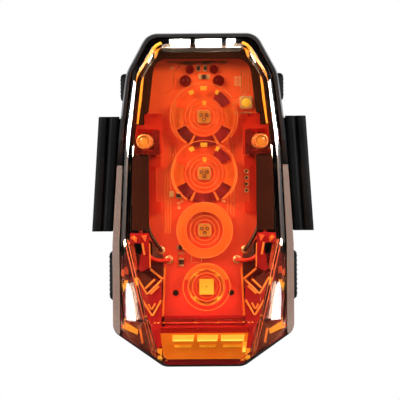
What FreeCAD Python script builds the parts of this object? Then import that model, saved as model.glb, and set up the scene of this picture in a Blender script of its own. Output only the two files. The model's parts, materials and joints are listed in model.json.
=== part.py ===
import FreeCAD
import Part
import math
import os

# Bicycle tail light with four diodes, two lasers and a rubber strap, in millimetres.
# +X is to the right seen from behind the bicycle, +Z is up and the lens faces -Y.
# The origin is on the seat post's axis, at the middle of the strap's height.

# Seat post and the rubber saddle pad that rests on it
post_radius = 13.6
pad_thickness = 3.0
pad_half_width = 14.5
pad_half_height = 17.0
pad_wrap_angle = 60.0
pad_edge_y = -9.0
pad_corner = 1.6
pad_back_corner = 0.4
pad_lip_width = 0.9
pad_lip_drop = 0.2
pad_lip_corner = 0.5
pad_post_gap = 0.02
pad_key_half_width = 6.0
pad_key_half_height = 10.0
pad_key_depth = 0.8

# Depths along Y, from the post forward
housing_depth = 11.0
housing_wall = 1.8
housing_draft = 2.5
lens_depth = 13.6
lens_wall = 1.5
lens_bevel_depth = 2.0
board_thickness = 1.2
board_over_seam = 0.2

# Right half of the housing's outline at the seam, seen from the front, as (x, z, corner radius)
housing_outline = [
    (12.8, 33.0, 4.0),
    (17.9, 23.6, 8.0),
    (19.6, 9.8, 12.0),
    (21.3, -16.5, 12.0),
    (21.3, -37.0, 3.2),
    (9.4, -45.4, 3.5),
]
# The same for the lens: the housing's brow goes round its upper part and the diffusers lie beside the lower
lens_outline = [
    (12.0, 31.7, 3.2),
    (16.6, 23.2, 7.2),
    (18.3, 9.6, 12.0),
    (19.5, -16.5, 12.0),
    (19.5, -37.4, 2.4),
    (8.9, -45.0, 3.2),
]
lens_shoulder_inset = 0.4
# The inner front face stands in by less than the wall, because the bevel slopes
lens_front_inset_share = 0.75
# Edge of the lens's flat front face: the bevel beside it runs out at the laser's height
front_outline = [
    (10.4, 29.4, 3.4),
    (15.2, 22.4, 7.0),
    (17.9, 5.0, 12.0),
    (18.2, -16.5, 12.0),
    (18.0, -35.8, 2.0),
    (7.4, -43.4, 2.6),
]

# Lower side facets of the lens: the crease runs down and in across the front face
crease_top = (18.6, -11.5)
crease_bottom = (9.9, -45.0)
facet_foot = (21.0, -34.0)
facet_foot_over_seam = 2.6
# Slanted lower window of the lens
window_top_z = -34.6
window_foot_z = -44.9
window_foot_over_seam = 5.0

# Brow: thin rim of the housing round the lens's upper part, whose two ends slope
brow_depth = 11.3
brow_draft = 0.5
brow_gap = 0.12
brow_end_z = 2.2
brow_end_rise = 5.5

# Seal ring in the housing's rim
seal_inset = 0.5
seal_width = 0.8
seal_height = 0.5

# Side diffusers
diffuser_height = 3.4
diffuser_slope = 1.5
diffuser_gap = 0.1
diffuser_top_z = 2.0
diffuser_bottom_z = -35.0

# Battery, tray and foam
battery_half_width = 12.0
battery_thickness = 6.0
battery_top_z = 14.0
battery_bottom_z = -27.0
battery_corner = 2.0
tray_floor = 0.8
tray_wall = 1.0
tray_gap = 0.2
tray_pin_radius = 0.6
tray_pin_spacing = 13.0
tray_pin_z = -28.0
tray_pin_end = 0.3
tray_foot_width = 3.0
tray_foot_height = 2.0
tray_foot_depth = 2.0
tray_gate_margin = 1.7
foam_half_width = 8.0
foam_top_z = 4.0
foam_bottom_z = -20.0

# Circuit board, as (x, z, corner radius) of its right half
board_outline = [
    (12.9, 27.6, 3.0),
    (12.9, -15.0, 0.8),
    (9.3, -19.2, 0.8),
    (9.3, -35.0, 0.6),
]
pin_hole_gap = 0.1

# Light-emitting diodes and their optics, upper to lower
optic_top_z = 14.0
optic_pitch = 13.3
optic_radii = [7.4, 7.4, 6.7]
lower_optic_radius = 5.5
optic_height = 8.0
optic_foot_radius = 3.3
optic_foot_height = 1.6
optic_cup_radius = 2.7
optic_cup_straight = 1.5
optic_cup_height = 3.4
optic_rim_height = 1.2
optic_dish_share = 0.6
optic_dish_slope_share = 0.08
optic_dish_depth = 1.6
optic_dish_middle_share = 0.7
optic_waist_share = 0.80
optic_neck_share = 0.93
optic_waist_rise = 0.4
cup_shoulder_radius_share = 0.72
cup_shoulder_height_share = 0.85
web_bore_share = 0.97
web_width = 9.0
diode_side = 3.5
diode_height = 0.9
diode_dome_radius = 1.2
lower_diode_height = 1.1

# Small dark domes near the board's top, as (x, z, radius)
dome_places = [(-2.8, 24.4, 1.05), (2.8, 24.4, 1.05), (-3.9, 21.7, 1.4), (3.9, 21.7, 1.4)]
dome_base_height = 0.5
status_diode_place = (10.3, 16.6)
status_diode_side = 3.0
status_diode_height = 1.0
status_well_share = 0.36
status_well_depth = 0.3

# Inner bezel
bezel_height = 4.4
bezel_draft = 0.4
bezel_gap = 0.35
bezel_foot_z = 11.6
bezel_opening = [(11.1, 26.9, 3.4), (12.9, 12.0, 0.5), (12.9, -20.0, 0.5)]
bezel_clip_gap = 0.2

# Laser modules
laser_x = 13.1
laser_z = 7.8
laser_tilt = 8.0
laser_radius = 1.75
laser_bore_radius = 0.95
laser_length = 7.8
laser_foot_y_gap = 1.2
laser_lens_thickness = 0.9
laser_step = 0.35
laser_lens_share = 0.8
laser_seat_gap = 0.05
laser_diode_length = 1.0
holder_inner_x = 9.5
holder_outer_x = 16.1
holder_top_z = 11.4
holder_bottom_z = 4.6
holder_height = 4.6
holder_wall = 1.0
holder_pocket_depth = 1.6
clip_top_z = 14.1
clip_outer_x = 13.6
clip_height = 2.6
clip_wall = 1.2
clip_notch = 0.9
tongue_bottom_z = -9.0
tongue_inner_x = 11.0
tongue_outer_x = 12.2
tongue_height = 1.4
hook_reach = 1.2
hook_height = 2.2
hook_length = 2.4
hook_drop = 3.0

# Dark side panels under the lasers
panel_inner_x = 12.6
panel_outer_x = 16.6
panel_top_z = 4.3
panel_bottom_z = -13.3
panel_height = 1.6
panel_lift = 3.0
panel_rib_width = 0.8
panel_skirt = 0.3
panel_skirt_end_z = -9.0

# Laser leads, as points (x, z, height over the board) of the left side
lead_radius = 0.45
lead_black_points = [
    (13.5, 4.6, 1.2),
    (13.5, 0.0, 1.2),
    (13.7, -5.6, 1.4),
    (13.5, -11.6, 1.7),
    (11.7, -15.6, 1.9),
    (9.9, -17.9, 1.5),
    (9.9, -17.9, 0.0),
]
lead_red_points = [
    (15.0, 4.6, 1.2),
    (15.0, 0.4, 1.2),
    (15.1, -6.4, 1.3),
    (14.9, -12.8, 1.7),
    (13.7, -18.6, 2.1),
    (10.9, -20.9, 2.0),
    (8.0, -20.2, 1.5),
    (8.0, -20.2, 0.0),
]
lead_pad_radius = 1.0
lead_pad_height = 0.12

# Side prisms beside the board's narrow end: a base wing, V-shaped steps and a wedge that rises below them
prism_inner_x = 9.8
prism_top_z = -19.6
prism_bottom_z = -42.4
prism_wing_x = 16.0
prism_wing_drop = 0.8
prism_wing_low_x = 14.6
prism_wing_low_z = -32.0
prism_base_height = 1.2
prism_corner = 0.3
prism_step_count = 3
prism_step_height = 1.3
prism_step_down = 2.7
prism_step_in = 0.75
prism_outer_x = 15.6
prism_outer_tuck = 0.3
prism_first_drop = 4.7
prism_valley_x = 13.2
prism_valley_in = 0.6
prism_arm_drop = 2.9
prism_arm_width = 1.7
prism_inner_drop = 0.9
prism_wedge_top_z = -34.0
prism_wedge_outer_x = 13.2
prism_wedge_height = 3.9

# Lower reflector
reflector_half_width = 8.5
reflector_gap = 0.4
reflector_thickness = 1.2
reflector_top_share = 0.28
reflector_bottom_share = 0.84
reflector_rib_count = 9
reflector_rib_depth = 0.5
ledge_z = -35.8
ledge_depth = 1.8
ledge_thickness = 0.8
ledge_pitch = 1.5
ledge_post_width = 1.2
ledge_foot = 1.0
ledge_step_in = 0.5
reflector_rib_margin = 0.8

# Side buttons and their switches
button_z = 20.3
button_rise = 0.85
button_length = 6.6
button_width = 3.6
button_gap = 0.15
button_flange = 0.45
button_flange_thickness = 0.9
button_flange_gap = 0.1
button_skin = 1.4
button_stem_radius = 1.0
button_travel = 0.6
button_edge = 0.9
# A fillet takes at most this share of the cap's width
button_edge_share = 0.3
switch_height = 5.2
switch_width = 4.2
switch_depth = 4.0
switch_outer_x = 12.2
plunger_radius = 0.8
plunger_gap = 0.1
plunger_out = 0.9
plunger_in = 0.9
plunger_bore_spare = 0.3
plunger_height = 2.8

# Grip pads low on the sides
grip_z = -23.9
grip_length = 11.6
grip_width = 5.0
grip_rise = 0.75
grip_seat = 1.2
grip_forward = 1.2
grip_edge = 0.6

# Charging port on the lower back
port_z = -36.0
port_board_half_width = 6.5
port_board_top_z = -30.2
port_board_bottom_z = -39.6
port_board_thickness = 1.0
header_half_width = 5.0
header_height = 2.4
header_margin = 0.3
socket_half_width = 4.5
socket_height = 3.2
socket_wall = 0.35
socket_back_wall = 1.2
socket_tongue_margin = 1.2
socket_tongue_back = 1.0
socket_mouth_gap = 0.4
port_opening_gap = 0.35
flap_half_width = 6.6
flap_below = 3.6
flap_recess = 0.8
flap_recess_gap = 0.1
flap_thickness = 1.4
flap_gap = 0.2
flap_hinge_z = -31.4
flap_hinge_radius = 0.9
flap_hinge_gap = 0.08
flap_plug_length = 1.2
flap_plug_gap = 0.35
flap_corner = 1.6
flap_lip = 0.5
flap_lip_half_width = 2.2

# Rubber strap
strap_thickness = 2.8
strap_end_half_height = 13.5
strap_back_half_height = 10.0
strap_lean = 0.0646
strap_clear = 0.3
strap_split_gap = 0.05
strap_open_angle = 60.0
strap_horn_margin = 6.0
strap_taper_front_y = -15.0
strap_taper_back_y = -3.0
rail_out = 1.6
rail_front_over_back = 6.6
rail_slope = 0.62
rail_thickness = 1.9
rail_half_height = 13.0
rail_land = 0.4
rail_corner = 0.3
rail_root_corner = 0.1
bead_length = 2.9
bead_width = 2.45
bead_clear = 0.1
bead_corner = 1.0
bead_hook_corner = 0.3
bead_outer_corner = 1.2
bead_groove_half_width = 0.45
bead_groove_depth = 0.9
bead_groove_corner = 0.2
bead_lobe_corner = 0.6
strap_arm_corner = 1.0
strap_arm_shoulder = 1.0
strap_back_corner = 3.0
# Where the arm runs into the round part, as an angle from the post's side
strap_foot_angle = 19.4

# Small parts on the board: (x, z, width, height, thickness), front then back
front_chips = [
    (-5.6, -5.1, 1.2, 1.6, 0.7),
    (-5.3, -17.3, 1.7, 1.1, 0.6),
    (-5.1, -20.8, 1.1, 1.9, 0.6),
    (0.5, 22.7, 1.6, 1.0, 0.6),
    (-0.8, 24.7, 0.7, 1.5, 0.4),
    (0.8, 24.7, 0.7, 1.5, 0.4),
]
back_chips = [(-7.0, 24.6, 2.0, 1.2, 0.9), (-3.6, 24.6, 2.0, 1.2, 0.9), (6.0, 24.6, 1.6, 0.8, 0.8)]
controller_side = 5.0
controller_height = 0.9
controller_place = (-3.0, 19.4)
inductor_side = 4.0
inductor_height = 2.0
inductor_place = (3.4, 19.4)

# Battery leads, as points (x, z, share of the way from the board's back to the cell's middle) of the red one
battery_lead_points = [
    (6.6, 14.0, 1.0),
    (6.6, 16.2, 1.0),
    (6.8, 19.0, 0.865),
    (7.0, 21.6, 0.558),
    (7.0, 22.7, 0.269),
    (7.0, 22.7, 0.0),
]
battery_lead_spacing = 1.5
inductor_corner = 0.6

# How a corner, a bend and a cutting tool are laid out
least_corner = 0.3
corner_share = 0.45
lead_bend_share = 0.45
sharp_corner = 0.05
past = 1.0
far = 100.0

# Places worked out from the driving sizes
housing_back_y = -(post_radius + pad_thickness)
seam_y = housing_back_y - housing_depth
lens_front_y = seam_y - lens_depth
shoulder_y = lens_front_y + lens_bevel_depth
board_back_y = seam_y + board_over_seam
board_front_y = board_back_y - board_thickness
floor_y = housing_back_y - housing_wall
brow_y = seam_y - brow_depth
cell_back_y = floor_y - tray_floor
cell_middle_y = cell_back_y - battery_thickness / 2
button_y = board_back_y + plunger_height
window_foot_y = seam_y - window_foot_over_seam
strap_middle = post_radius + strap_thickness / 2
strap_outer = post_radius + strap_thickness


def vec(x, y, z):
    return FreeCAD.Vector(x, y, z)


def mirrored_points(half):
    """Closed outline from its right half, which runs from the top down."""
    left = [(-x, z, r) for x, z, r in reversed(half)]
    return list(half) + left


def inset_points(points, inset):
    """Move each side of a convex clockwise outline inwards, with its corners kept concentric."""
    count = len(points)
    moved = []
    for i in range(count):
        x0, z0, _ = points[i - 1]
        x1, z1, radius = points[i]
        x2, z2, _ = points[(i + 1) % count]
        a = math.hypot(x1 - x0, z1 - z0)
        b = math.hypot(x2 - x1, z2 - z1)
        ux, uz = (x1 - x0) / a, (z1 - z0) / a
        vx, vz = (x2 - x1) / b, (z2 - z1) / b
        cross = ux * vz - uz * vx
        along = inset * (1 - (ux * vx + uz * vz)) / cross if abs(cross) > 1e-9 else 0.0
        x = x1 + inset * uz + along * ux
        z = z1 - inset * ux + along * uz
        moved.append((x, z, max(radius - inset, least_corner)))
    return moved


def rounded_wire(points, place):
    """Closed wire through (u, v, radius) corners, each with its arc, put into space by place(u, v)."""
    count = len(points)
    ends = []
    for i in range(count):
        u0, v0, _ = points[i - 1]
        u1, v1, radius = points[i]
        u2, v2, _ = points[(i + 1) % count]
        a = math.hypot(u0 - u1, v0 - v1)
        b = math.hypot(u2 - u1, v2 - v1)
        au, av = (u0 - u1) / a, (v0 - v1) / a
        bu, bv = (u2 - u1) / b, (v2 - v1) / b
        half_angle = math.acos(max(-1.0, min(1.0, au * bu + av * bv))) / 2
        reach = min(radius / math.tan(half_angle), corner_share * a, corner_share * b)
        arc_radius = reach * math.tan(half_angle)
        mu, mv = au + bu, av + bv
        size = math.hypot(mu, mv)
        to_middle = arc_radius / math.sin(half_angle) - arc_radius
        start = place(u1 + au * reach, v1 + av * reach)
        middle = place(u1 + mu / size * to_middle, v1 + mv / size * to_middle)
        end = place(u1 + bu * reach, v1 + bv * reach)
        ends.append((start, middle, end))
    edges = []
    for i in range(count):
        start, middle, end = ends[i]
        edges.append(Part.Arc(start, middle, end).toShape())
        edges.append(Part.LineSegment(end, ends[(i + 1) % count][0]).toShape())
    return Part.Wire(edges)


def front_wire(points, y):
    """Rounded outline seen from the front, at depth y."""
    return rounded_wire(points, lambda u, v: vec(u, y, v))


def front_prism(points, y_from, y_to):
    """Solid with a rounded front outline between two depths."""
    return Part.Face(front_wire(points, y_from)).extrude(vec(0, y_to - y_from, 0))


def box(x0, x1, y0, y1, z0, z1):
    return Part.makeBox(x1 - x0, y1 - y0, z1 - z0, vec(x0, y0, z0))


def centred_box(x, z, width, height, y0, y1):
    return box(x - width / 2, x + width / 2, y0, y1, z - height / 2, z + height / 2)


def drafted(points, levels):
    """Ruled solid through the outline, inset by each level's amount at its depth: [(inset, y), ...]."""
    wires = [front_wire(inset_points(points, inset), y) for inset, y in levels]
    return Part.makeLoft(wires, True, True)


def side_pill(x0, x1, y, z, length, width):
    """Pill-shaped bar along X, its long side along Z."""
    bar_half = (length - width) / 2
    bar = box(x0, x1, y - width / 2, y + width / 2, z - bar_half, z + bar_half)
    ends = [
        Part.makeCylinder(width / 2, x1 - x0, vec(x0, y, z + side * bar_half), vec(1, 0, 0))
        for side in (-1, 1)
    ]
    return bar.fuse(ends).removeSplitter()


def outer_edges(shape, x):
    """Edges of the shape's outermost face, which lies at x."""
    tolerance = 0.01
    return [e for e in shape.Edges if e.BoundBox.XMin > x - tolerance]


def mirrored(shape):
    return shape.mirror(vec(0, 0, 0), vec(1, 0, 0))


def tube_along(points, radius):
    """Round tube along straight runs joined by tangent arcs."""
    parts = []
    start = points[0]
    for i in range(1, len(points) - 1):
        here = points[i]
        back = points[i - 1] - here
        ahead = points[i + 1] - here
        reach = lead_bend_share * min(back.Length, ahead.Length)
        back.normalize()
        ahead.normalize()
        half_turn = (math.pi - back.getAngle(ahead)) / 2
        bisector = (back + ahead).normalize()
        bend_start = here + back * reach
        run = bend_start - start
        parts.append(Part.makeCylinder(radius, run.Length, start, run))
        centre = here + bisector * (reach / math.sin(half_turn))
        section = Part.Face(Part.Wire([Part.makeCircle(radius, bend_start, back)]))
        parts.append(section.revolve(centre, ahead.cross(back), 2 * math.degrees(half_turn)))
        start = here + ahead * reach
    run = points[-1] - start
    parts.append(Part.makeCylinder(radius, run.Length, start, run))
    return parts[0].fuse(parts[1:])


def side_x(z, y):
    """Half width of the housing's outer side at a height and depth behind the seam."""
    half = inset_points(mirrored_points(housing_outline), housing_draft * (y - seam_y) / housing_depth)
    for (x0, z0, _), (x1, z1, _) in zip(half, half[1:]):
        if z1 <= z <= z0:
            return x0 + (x1 - x0) * (z0 - z) / (z0 - z1)
    raise ValueError("height outside the outline")


def strap_x(z):
    """Half width that the strap's rails and beads lean along."""
    return side_x(0.0, seam_y) - strap_lean * z


def plane_cutter(p0, p1, p2, away, shift):
    """Large slab on the side of the plane p0, p1, p2 that the point away lies on, moved in by shift."""
    normal = (p1 - p0).cross(p2 - p0)
    normal.normalize()
    if normal.dot(away - p0) < 0:
        normal = normal * -1
    slab = Part.makeBox(2 * far, 2 * far, far, vec(-far, -far, 0))
    slab.Placement = FreeCAD.Placement(p0 - normal * shift, FreeCAD.Rotation(vec(0, 0, 1), normal))
    return slab


def facet_cutter(side, shift):
    top = vec(side * crease_top[0], lens_front_y, crease_top[1])
    bottom = vec(side * crease_bottom[0], lens_front_y, crease_bottom[1])
    foot = vec(side * facet_foot[0], seam_y - facet_foot_over_seam, facet_foot[1])
    return plane_cutter(top, bottom, foot, vec(side * far, lens_front_y, -far), shift)


def window_cutter(shift):
    top = vec(0, lens_front_y, window_top_z)
    across = vec(far, lens_front_y, window_top_z)
    foot = vec(0, window_foot_y, window_foot_z)
    return plane_cutter(top, across, foot, vec(0, lens_front_y, -far), shift)


def lens_body(wall):
    """Solid form of the lens, with every face moved in by the wall."""
    closed = mirrored_points(lens_outline)
    front = mirrored_points(front_outline)
    wires = [
        front_wire(inset_points(closed, wall), seam_y),
        front_wire(inset_points(closed, lens_shoulder_inset + wall), shoulder_y + wall / 2),
        front_wire(inset_points(front, wall * lens_front_inset_share), lens_front_y + wall),
    ]
    body = Part.makeLoft(wires, True, True)
    cutters = [facet_cutter(side, wall) for side in (-1, 1)]
    return body.cut(cutters + [window_cutter(wall)])


def lens_cover():
    return lens_body(0.0).cut(lens_body(lens_wall))


def housing_cavity():
    closed = mirrored_points(lens_outline)
    return drafted(closed, [(lens_wall, seam_y), (lens_wall + housing_draft, floor_y)])


def seal_ring(y_from, y_to):
    closed = mirrored_points(lens_outline)
    outside = front_prism(inset_points(closed, seal_inset), y_from, y_to)
    inside = front_prism(inset_points(closed, seal_inset + seal_width), y_from, y_to)
    return outside.cut(inside)


def brow():
    """Thin rim in front of the seam, round the lens's upper part."""
    outside = drafted(mirrored_points(housing_outline), [(0.0, seam_y), (brow_draft, brow_y)])
    inside = front_prism(inset_points(mirrored_points(lens_outline), -brow_gap), seam_y + past, brow_y - past)
    side = [
        vec(-far, seam_y, brow_end_z),
        vec(-far, brow_y, brow_end_z + brow_end_rise),
        vec(-far, brow_y, far),
        vec(-far, seam_y, far),
    ]
    zone = Part.Face(Part.makePolygon(side + [side[0]])).extrude(vec(2 * far, 0, 0))
    return outside.cut(inside).common(zone)


def rail_points(z):
    """Section of the right-hand strap rail, seen from above, at a height."""
    root_x = side_x(0.0, housing_back_y) - strap_lean * z - housing_wall / 2
    tip_x = strap_x(z) + rail_out
    tip_y = housing_back_y - rail_front_over_back + rail_thickness
    front_tip_y = tip_y - rail_thickness + rail_land
    return [
        (root_x, front_tip_y - rail_slope * (tip_x - root_x), rail_root_corner),
        (tip_x, front_tip_y, rail_corner),
        (tip_x, tip_y, rail_corner),
        (root_x, tip_y, rail_root_corner),
    ]


def strap_rail():
    wires = []
    for z in (rail_half_height, -rail_half_height):
        wires.append(rounded_wire(rail_points(z), lambda u, v, z=z: vec(u, v, z)))
    return Part.makeLoft(wires, True, True)


def button_flange_x():
    """Outer face of the button's flange, in a pocket on the inside of the wall."""
    return side_x(button_z + button_length / 2, button_y) - button_skin - button_flange_gap


def button_opening():
    """Hole through the wall for the cap, and the pocket for its flange."""
    x = button_flange_x()
    gap = 2 * button_gap
    wide = 2 * button_flange + gap
    hole = side_pill(x - past, x + far, button_y, button_z, button_length + gap, button_width + gap)
    pocket = side_pill(
        switch_outer_x, x + button_flange_gap, button_y, button_z, button_length + wide, button_width + wide
    )
    return hole.fuse(pocket)


def grip_bounds():
    outer = side_x(grip_z, seam_y) + grip_rise
    y = (seam_y + housing_back_y) / 2 - grip_forward
    inner = side_x(grip_z, y) - grip_seat
    return inner, outer, y


def flap_outline(gap):
    bottom = port_z - flap_below - gap
    half = flap_half_width + gap
    return [
        (half, flap_hinge_z + gap, least_corner),
        (half, bottom, flap_corner),
        (-half, bottom, flap_corner),
        (-half, flap_hinge_z + gap, least_corner),
    ]


def hinge_barrel(radius, half_length):
    y = housing_back_y - flap_recess + flap_thickness / 2
    return Part.makeCylinder(radius, 2 * half_length, vec(-half_length, y, flap_hinge_z), vec(1, 0, 0))


def rear_housing():
    closed = mirrored_points(housing_outline)
    body = drafted(closed, [(0.0, seam_y), (housing_draft, housing_back_y)])
    cuts = [housing_cavity(), seal_ring(seam_y, seam_y + seal_height)]
    opening = button_opening()
    cuts += [opening, mirrored(opening)]
    inner, outer, y = grip_bounds()
    grip = side_pill(inner, outer, y, grip_z, grip_length, grip_width)
    cuts += [grip, mirrored(grip)]
    key_y = housing_back_y - pad_key_depth
    cuts.append(
        box(-pad_key_half_width, pad_key_half_width, key_y, 0, -pad_key_half_height, pad_key_half_height)
    )
    recess_y = housing_back_y - flap_recess - flap_recess_gap
    cuts.append(front_prism(flap_outline(flap_gap), recess_y, housing_back_y + past))
    cuts.append(hinge_barrel(flap_hinge_radius + flap_hinge_gap, flap_half_width + flap_gap))
    half = socket_half_width + port_opening_gap
    tall = socket_height / 2 + port_opening_gap
    cuts.append(box(-half, half, floor_y - past, 0, port_z - tall, port_z + tall))
    rail = strap_rail()
    return body.fuse([rail, mirrored(rail), brow()]).cut(cuts)


def side_diffuser():
    """Right-hand frosted strip between the lens edge and the housing's outline."""
    closed = mirrored_points(housing_outline)
    body = drafted(
        closed, [(diffuser_gap, seam_y), (diffuser_gap + diffuser_slope, seam_y - diffuser_height)]
    )
    lens_edge = inset_points(mirrored_points(lens_outline), -diffuser_gap)
    lens = front_prism(lens_edge, seam_y + past, lens_front_y)
    zone = box(0, far, lens_front_y, seam_y, diffuser_bottom_z, diffuser_top_z)
    return body.cut(lens).common(zone)


def battery_cell():
    points = [
        (battery_half_width, battery_top_z, battery_corner),
        (battery_half_width, battery_bottom_z, battery_corner),
        (-battery_half_width, battery_bottom_z, battery_corner),
        (-battery_half_width, battery_top_z, battery_corner),
    ]
    return front_prism(points, cell_back_y, cell_back_y - battery_thickness)


def battery_tray():
    half = battery_half_width + tray_gap
    top = battery_top_z + tray_gap
    bottom = battery_bottom_z - tray_gap
    outside = box(
        -half - tray_wall, half + tray_wall, board_back_y, floor_y, bottom - tray_wall, top + tray_wall
    )
    inside = box(-half, half, board_back_y - past, cell_back_y, bottom, top)
    red_x = battery_lead_points[0][0]
    gate = box(
        red_x - battery_lead_spacing - tray_gate_margin,
        red_x + tray_gate_margin,
        board_back_y - past,
        cell_middle_y + tray_gate_margin,
        top - past,
        top + tray_wall + past,
    )
    pins = []
    for side in (-1, 1):
        x = side * tray_pin_spacing / 2
        start = board_front_y - tray_pin_end
        length = board_back_y + tray_foot_depth - start
        pins.append(Part.makeCylinder(tray_pin_radius, length, vec(x, start, tray_pin_z), vec(0, 1, 0)))
        foot_end = board_back_y + tray_foot_depth
        pins.append(
            centred_box(x, tray_pin_z, tray_foot_width, tray_foot_height, board_back_y, foot_end)
        )
    return outside.cut([inside, gate]).fuse(pins).removeSplitter()


def battery_foam():
    cell_front_y = cell_back_y - battery_thickness
    return box(-foam_half_width, foam_half_width, board_back_y, cell_front_y, foam_bottom_z, foam_top_z)


def circuit_board():
    board = front_prism(mirrored_points(board_outline), board_back_y, board_front_y)
    holes = []
    for side in (-1, 1):
        foot = vec(side * tray_pin_spacing / 2, board_front_y - past, tray_pin_z)
        depth = board_thickness + 2 * past
        holes.append(Part.makeCylinder(tray_pin_radius + pin_hole_gap, depth, foot, vec(0, 1, 0)))
    return board.cut(holes)


def optic_z(index):
    return optic_top_z - optic_pitch * index


def collimator(z, radius):
    """One collimator, turned about an axis along Y through the diode."""
    foot = board_front_y
    top = foot - optic_height
    rim = top + optic_rim_height
    profile = [
        vec(optic_cup_radius, foot, z),
        vec(optic_foot_radius, foot, z),
        vec(optic_foot_radius, foot - optic_foot_height, z),
        vec(radius * optic_waist_share, (foot + top) / 2 - optic_waist_rise, z),
        vec(radius * optic_neck_share, rim, z),
        vec(radius, rim, z),
        vec(radius, top, z),
        vec(radius * optic_dish_share, top, z),
        vec(radius * (optic_dish_share - optic_dish_slope_share), top + optic_dish_depth, z),
        vec(0, top + optic_dish_depth * optic_dish_middle_share, z),
        vec(0, foot - optic_cup_height, z),
        vec(
            optic_cup_radius * cup_shoulder_radius_share,
            foot - optic_cup_height * cup_shoulder_height_share,
            z,
        ),
        vec(optic_cup_radius, foot - optic_cup_straight, z),
        vec(optic_cup_radius, foot, z),
    ]
    face = Part.Face(Part.makePolygon(profile))
    return face.revolve(vec(0, 0, z), vec(0, 1, 0), 360)


def optic_array():
    parts = [collimator(optic_z(i), radius) for i, radius in enumerate(optic_radii)]
    top = board_front_y - optic_height
    rims = []
    for i in range(len(optic_radii) - 1):
        low, high = optic_z(i + 1), optic_z(i)
        web = box(-web_width / 2, web_width / 2, top, top + optic_rim_height, low, high)
        bores = []
        for j in (i, i + 1):
            start = vec(0, top - past, optic_z(j))
            bores.append(Part.makeCylinder(optic_radii[j] * web_bore_share, optic_height, start, vec(0, 1, 0)))
        rims.append(web.cut(bores))
    clear = []
    depth = optic_dish_depth * optic_dish_middle_share + past
    for i, radius in enumerate(optic_radii):
        start = vec(0, top - past, optic_z(i))
        clear.append(Part.makeCylinder(radius * optic_dish_share, depth, start, vec(0, 1, 0)))
    return parts[0].fuse(parts[1:] + rims).cut(clear).removeSplitter()


def diode(z, height, domed):
    front = board_front_y - height
    body = centred_box(0, z, diode_side, diode_side, front, board_front_y)
    if not domed:
        return body
    ball = Part.makeSphere(diode_dome_radius, vec(0, front, z))
    cap = ball.common(centred_box(0, z, diode_side, diode_side, front - diode_dome_radius, front))
    return body.fuse(cap)


def main_diodes():
    return Part.makeCompound([diode(optic_z(i), diode_height, True) for i in range(len(optic_radii))])


def dome_on(x, z, radius, base_height):
    """Short round base on the board with a ball's cap on it."""
    base_y = board_front_y - base_height
    base = Part.makeCylinder(radius, base_height, vec(x, base_y, z), vec(0, 1, 0))
    zone = centred_box(x, z, 2 * radius, 2 * radius, base_y - radius, base_y)
    cap = Part.makeSphere(radius, vec(x, base_y, z)).common(zone)
    return base.fuse(cap).removeSplitter()


def small_domes():
    return Part.makeCompound([dome_on(x, z, radius, dome_base_height) for x, z, radius in dome_places])


def status_diode():
    x, z = status_diode_place
    front = board_front_y - status_diode_height
    body = centred_box(x, z, status_diode_side, status_diode_side, front, board_front_y)
    start = vec(x, front - past, z)
    well = Part.makeCylinder(
        status_diode_side * status_well_share, status_well_depth + past, start, vec(0, 1, 0)
    )
    return body.cut(well)


def inner_bezel():
    inset = lens_wall + bezel_gap + lens_shoulder_inset * bezel_height / lens_depth
    foot = board_front_y
    outside = drafted(
        mirrored_points(lens_outline),
        [(inset, foot), (inset + bezel_draft, foot - bezel_height)],
    )
    opening = front_prism(mirrored_points(bezel_opening), foot + past, foot - bezel_height - past)
    zone = box(-far, far, lens_front_y, foot, bezel_foot_z, far)
    clip_x = clip_outer_x + bezel_clip_gap
    clips = box(-clip_x, clip_x, lens_front_y, foot + past, bezel_foot_z - past, clip_top_z + bezel_clip_gap)
    return outside.cut([opening, clips]).common(zone)


def laser_axis():
    """Foot and direction of the right-hand barrel, which leans out by the tilt."""
    angle = math.radians(laser_tilt)
    foot = vec(laser_x, board_front_y - laser_foot_y_gap, laser_z)
    return foot, vec(math.sin(angle), -math.cos(angle), 0)


def laser_slug(radius, start, length):
    """Round solid on the barrel's axis, from start and over length."""
    foot, way = laser_axis()
    return Part.makeCylinder(radius, length, foot + way * start, way)


def laser_barrel():
    barrel = laser_slug(laser_radius, 0, laser_length)
    bore = laser_slug(laser_bore_radius, -past, laser_length + 2 * past)
    return barrel.cut([bore, laser_lens(laser_lens_thickness), laser_diode()])


def laser_lens(thickness):
    return laser_slug(laser_bore_radius + laser_step, laser_length - laser_lens_thickness, thickness)


def laser_diode():
    return laser_slug(laser_bore_radius + laser_step, 0, laser_diode_length)


def laser_holder():
    """Right-hand clip: square carrier round the barrel, clip block above and tongue below."""
    top = board_front_y - holder_height
    carrier = box(holder_inner_x, holder_outer_x, top, board_front_y, holder_bottom_z, holder_top_z)
    pocket = box(
        holder_inner_x + holder_wall,
        holder_outer_x - holder_wall,
        top - past,
        top + holder_pocket_depth,
        holder_bottom_z + holder_wall,
        holder_top_z - holder_wall,
    )
    bore = laser_slug(laser_radius + laser_seat_gap, -holder_height, 3 * holder_height)
    clip = box(
        holder_inner_x, clip_outer_x, board_front_y - clip_height, board_front_y, holder_top_z, clip_top_z
    )
    notch = box(
        holder_inner_x + clip_wall,
        clip_outer_x - clip_wall,
        top,
        board_front_y - clip_wall,
        clip_top_z - clip_notch,
        clip_top_z,
    )
    tongue = box(
        tongue_inner_x,
        tongue_outer_x,
        board_front_y - tongue_height,
        board_front_y,
        tongue_bottom_z,
        holder_bottom_z,
    )
    hooks = []
    for z in (tongue_bottom_z, holder_bottom_z - hook_drop):
        hooks.append(
            box(
                tongue_inner_x - hook_reach,
                tongue_outer_x,
                board_front_y - hook_height,
                board_front_y,
                z,
                z + hook_length,
            )
        )
    return carrier.cut([pocket, bore]).fuse([clip.cut(notch), tongue] + hooks).removeSplitter()


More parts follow.
